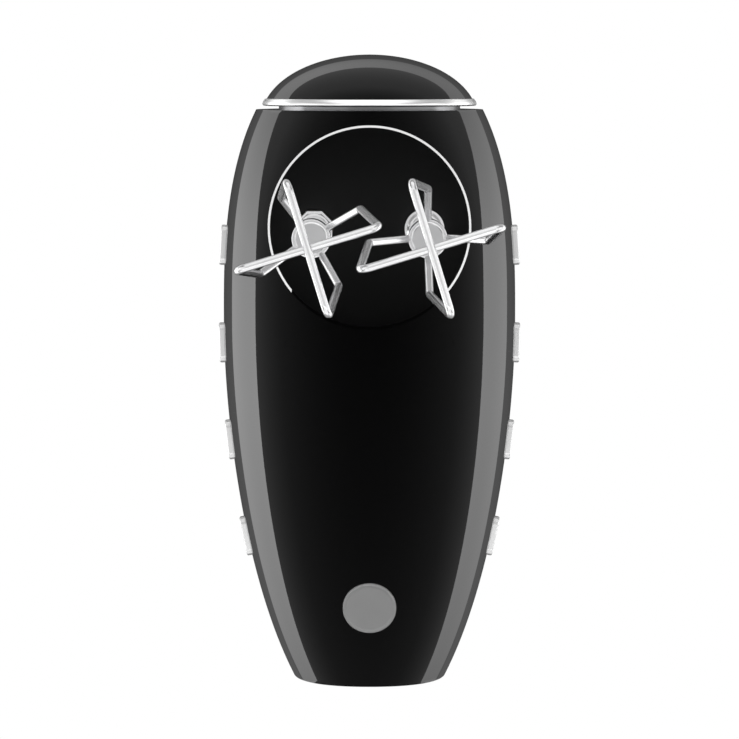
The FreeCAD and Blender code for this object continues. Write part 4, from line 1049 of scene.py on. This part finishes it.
@dataclass
class Controls:
    """Marks on the keys and the lit digit behind the window."""

    stroke: float = 0.00045
    long: float = 0.0017
    raised: float = 0.00012

    def build(self, paints: Paints) -> None:
        """Make the marks and the digit.

        Args:
            paints: the materials.
        """
        up, down, turbo = (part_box(node) for node in
                           ("speed_up_button", "speed_down_button", "turbo_button"))
        self.mark("plus_mark", up, "speed_up_key", ((self.long, self.stroke),
                                                    (self.stroke, self.long)), paints)
        self.mark("minus_mark", down, "speed_down_key", ((self.long, self.stroke),), paints)
        self.mark("turbo_mark", turbo, "turbo_key", ((self.stroke, self.long),), paints)
        self.digit(paints)

    def mark(self, name: str, box: tuple, body: str, strokes: tuple, paints: Paints) -> None:
        """Raised strokes in the middle of a key.

        Args:
            name: the mark's name.
            box: the key's corners.
            body: the key's body.
            strokes: half width and half height of each stroke.
            paints: the materials.
        """
        low, high = box
        middle = ((low[0] + high[0]) / 2, high[1], (low[2] + high[2]) / 2)
        blocks = [rounded_block(f"{name}_{number}", middle, (wide, self.raised, tall))
                  for number, (wide, tall) in enumerate(strokes)]
        for block in blocks:
            finish_piece(block, paints.by_slot["satin_white"], body, "key_grey")

    def digit(self, paints: Paints) -> None:
        """A seven-part digit 3 and a row of level bars, on the display's face.

        Args:
            paints: the materials.
        """
        low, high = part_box("display_module")
        x, y, z = (low[0] + high[0]) / 2, high[1] + 0.00005, (low[2] + high[2]) / 2 + 0.001
        half, arm, thick, deep = 0.0017, 0.0016, 0.00028, 0.00006
        strokes = [(0.0, 2 * arm, half, thick), (0.0, 0.0, half, thick),
                   (0.0, -2 * arm, half, thick), (-half - thick, arm, thick, arm - thick),
                   (-half - thick, -arm, thick, arm - thick)]
        strokes += [(step * 0.0016, -0.0052, 0.0005, 0.0003) for step in (-3, -2, -1, 0, 1, 2, 3)]
        for number, (across, up, wide, tall) in enumerate(strokes):
            block = rounded_block(f"lit_stroke_{number}", (x + across, y, z + up),
                                  (wide, deep, tall), 0.35)
            finish_piece(block, paints.digits, "housing", "display")


# ---------------------------------------------------------------- studio
@dataclass
class Studio:
    """Camera, pale floor and soft light. Distances are from the object's own axis.

    The soft tunnel is an arch of light over and beside the object: two upright walls and a
    half-round roof of radius reach, from level with the object to depth behind it.
    """

    eye: Place = (0.0, -0.985, 0.210)
    tilt: float = 84.0
    lens: float = 139.2
    reach: float = 0.9
    depth: float = 0.932
    wall_low: float = -1.3
    roof_base: float = 0.12
    roof_near: float = 0.78
    roof_far: float = 0.70
    glow: float = 4.7
    fade: float = -1.05

    def build(self, bright: list[bpy.types.Object]) -> None:
        """Set everything up.

        Args:
            bright: the metal pieces that the front lights fill.
        """
        self.camera()
        self.floor()
        self.world()
        self.soft_tunnel()
        self.front_fill(bright)

    def camera(self) -> None:
        """Look at the mixer's beater side from a little above its middle."""
        data = bpy.data.cameras.new("studio_camera")
        data.lens = self.lens
        camera = linked("studio_camera", data)
        camera.location = self.eye
        camera.rotation_euler = (math.radians(self.tilt), 0.0, 0.0)
        bpy.context.scene.camera = camera

    def floor(self) -> None:
        """A wide pale floor that the camera sees as plain white."""
        half = 6.0
        corners = np.array([(-half, -half, 0), (half, -half, 0), (half, half, 0), (-half, half, 0)])
        floor = mesh_object("studio_floor", corners, np.array([(0, 1, 2, 3)]))
        floor.data.materials.append(self.white_ground())
        floor.visible_glossy = False
        floor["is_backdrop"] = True

    def white_ground(self) -> bpy.types.Material:
        """Pale matt floor.

        Returns:
            White to the camera, and a plain matt grey to every other ray.
        """
        material, w, matt = new_material("pale_floor")
        matt.inputs["Base Color"].default_value = (0.6, 0.6, 0.6, 1.0)
        matt.inputs["Roughness"].default_value = 0.9
        white = w.add("Emission", Color=(1.0, 1.0, 1.0), Strength=1.0)
        mix = w.add("MixShader", Fac=w.add("LightPath").outputs["Is Camera Ray"])
        w.feed(mix.inputs[1], matt.outputs[0])
        w.feed(mix.inputs[2], white.outputs[0])
        w.feed(material.node_tree.nodes["Material Output"].inputs["Surface"], mix.outputs[0])
        return material

    def world(self) -> None:
        """White to the camera; to reflections a soft grey, dim in front and straight behind."""
        scene = bpy.context.scene
        scene.view_settings.view_transform = "Standard"
        world = bpy.data.worlds.new("studio_world")
        world.use_nodes = True
        scene.world = world
        w = Wiring(world.node_tree)
        heading = w.add("SeparateXYZ", Vector=w.add("TexCoord").outputs["Generated"])
        share = w.add("MapRange", Value=heading.outputs["Y"], From_Min=-1.0)
        ramp = w.add("ValToRGB", Fac=share.outputs[0])
        stops = ((0.0, 0.03), (0.25, 0.20), (0.5, 0.50), (0.86, 0.44), (1.0, 0.06))
        for _ in range(len(stops) - 2):
            ramp.color_ramp.elements.new(0.5)
        for stop, (place, value) in zip(ramp.color_ramp.elements, stops):
            stop.position, stop.color = place, (value, value, value, 1.0)
        colour = w.blend(w.add("LightPath").outputs["Is Camera Ray"], ramp.outputs[0],
                         (1.0, 1.0, 1.0))
        w.feed(world.node_tree.nodes["Background"].inputs["Color"], colour)

    def soft_tunnel(self) -> None:
        """The arch of light, fading towards its far end and the foot of its walls.

        Its outline goes up the left wall, round the roof and down the right wall. The near edge
        goes back by roof_near * rise ^ 1.5 and the far edge by roof_far * rise ^ 3 of the reach,
        where rise is the sine of the angle round the roof, and the surface joins the two edges.
        """
        turn = np.linspace(math.pi, 0.0, 49)
        rise = np.concatenate(([0.0], np.sin(turn), [0.0])).clip(0.0, 1.0)
        across = np.concatenate(([-self.reach], self.reach * np.cos(turn), [self.reach]))
        up = np.concatenate(([self.wall_low], self.roof_base + self.reach * np.sin(turn),
                             [self.wall_low]))
        near = self.reach * self.roof_near * rise ** 1.5
        far = self.depth + self.reach * self.roof_far * rise ** 3
        depths = np.linspace(near, far, 9)
        points = np.stack((np.tile(across, (9, 1)), depths, np.tile(up, (9, 1))), axis=-1)
        soft = mesh_object("soft_tunnel", points.reshape(-1, 3), grid_quads(9, len(across)))
        soft.data.materials.append(self.soft_light())
        soft.visible_camera = False
        soft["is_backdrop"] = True

    def soft_light(self) -> bpy.types.Material:
        """A white glow of strength glow * e ^ (fade * y / reach), less at the foot and the roof.

        Returns:
            The emitting material.
        """
        material, w, _ = new_material("soft_light")
        place = w.add("SeparateXYZ", Vector=w.own_place())
        depth = w.math("MULTIPLY", place.outputs["Y"], self.fade / self.reach)
        low = w.add("MapRange", Value=place.outputs["Z"], From_Min=self.wall_low, From_Max=-0.1,
                    To_Min=0.45 * self.glow, To_Max=self.glow)
        high = w.add("MapRange", Value=place.outputs["Z"], From_Min=0.2, From_Max=0.6, To_Min=1.0,
                     To_Max=0.62)
        side = w.add("MapRange", Value=place.outputs["X"], From_Min=-0.3, From_Max=0.3, To_Min=1.0,
                     To_Max=0.80)
        level = w.math("MULTIPLY", low.outputs[0], high.outputs[0])
        strength = w.math("MULTIPLY", w.math("EXPONENT", depth),
                          w.math("MULTIPLY", level, side.outputs[0]))
        glow = w.add("Emission", Color=(1.0, 1.0, 1.0), Strength=strength)
        w.feed(material.node_tree.nodes["Material Output"].inputs["Surface"], glow.outputs[0])
        return material

    def front_fill(self, bright: list[bpy.types.Object]) -> None:
        """Broad lights in front and above that fall on the bright metal only.

        Args:
            bright: the pieces that they light.
        """
        lit = bpy.data.collections.new("bright_metal")
        for piece in bright:
            lit.objects.link(piece)
        lamps = {"fill_front": ((0.0, -1.7, 0.35), 2.2, 14.0),
                 "fill_high": ((0.0, -0.6, 1.5), 1.8, 11.0),
                 "fill_low": ((0.0, -0.9, -1.0), 2.2, 20.0),
                 "fill_left": ((-1.3, -0.8, 0.2), 1.6, 10.0),
                 "fill_right": ((1.3, -0.8, 0.2), 1.6, 10.0)}
        for name, (place, size, power) in lamps.items():
            data = bpy.data.lights.new(name, "AREA")
            data.size, data.energy = size, power
            lamp = linked(name, data)
            lamp.location = place
            lamp.rotation_euler = aimed(np.array((0.0, 0.0, 0.12)) - np.array(place))
            lamp.visible_camera = False
            lamp.light_linking.receiver_collection = lit


def aimed(aim: np.ndarray) -> tuple[float, float, float]:
    """Turn that points a lamp's own -Z along a direction.

    Args:
        aim: the direction.

    Returns:
        Euler angles, worked out from the direction's height and heading.
    """
    flat = math.hypot(aim[0], aim[1])
    return math.atan2(flat, -aim[2]), 0.0, math.atan2(-aim[0], aim[1])


def main() -> None:
    """Build the looks in order: finishes, pieces, studio."""
    logging.basicConfig(level=logging.INFO, format="%(message)s")
    paints = Paints()
    paints.dress(frame["nodes"])
    form = BodyForm()
    BodyShells(form).build(paints)
    NosePieces().build(paints)
    FootDisc(form).build(paints)
    BeaterHeads().build(paints)
    Controls().build(paints)
    bright = {"chrome_finish", "steel_finish", "satin_chrome_finish", "neck_metal_finish",
              "foot_grey_finish", "bar_chrome_finish", "hub_metal_finish"}
    metal = [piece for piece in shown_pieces() if piece.material_slots[0].material.name in bright]
    Studio().build(metal)


if __name__ == "__main__":
    main()
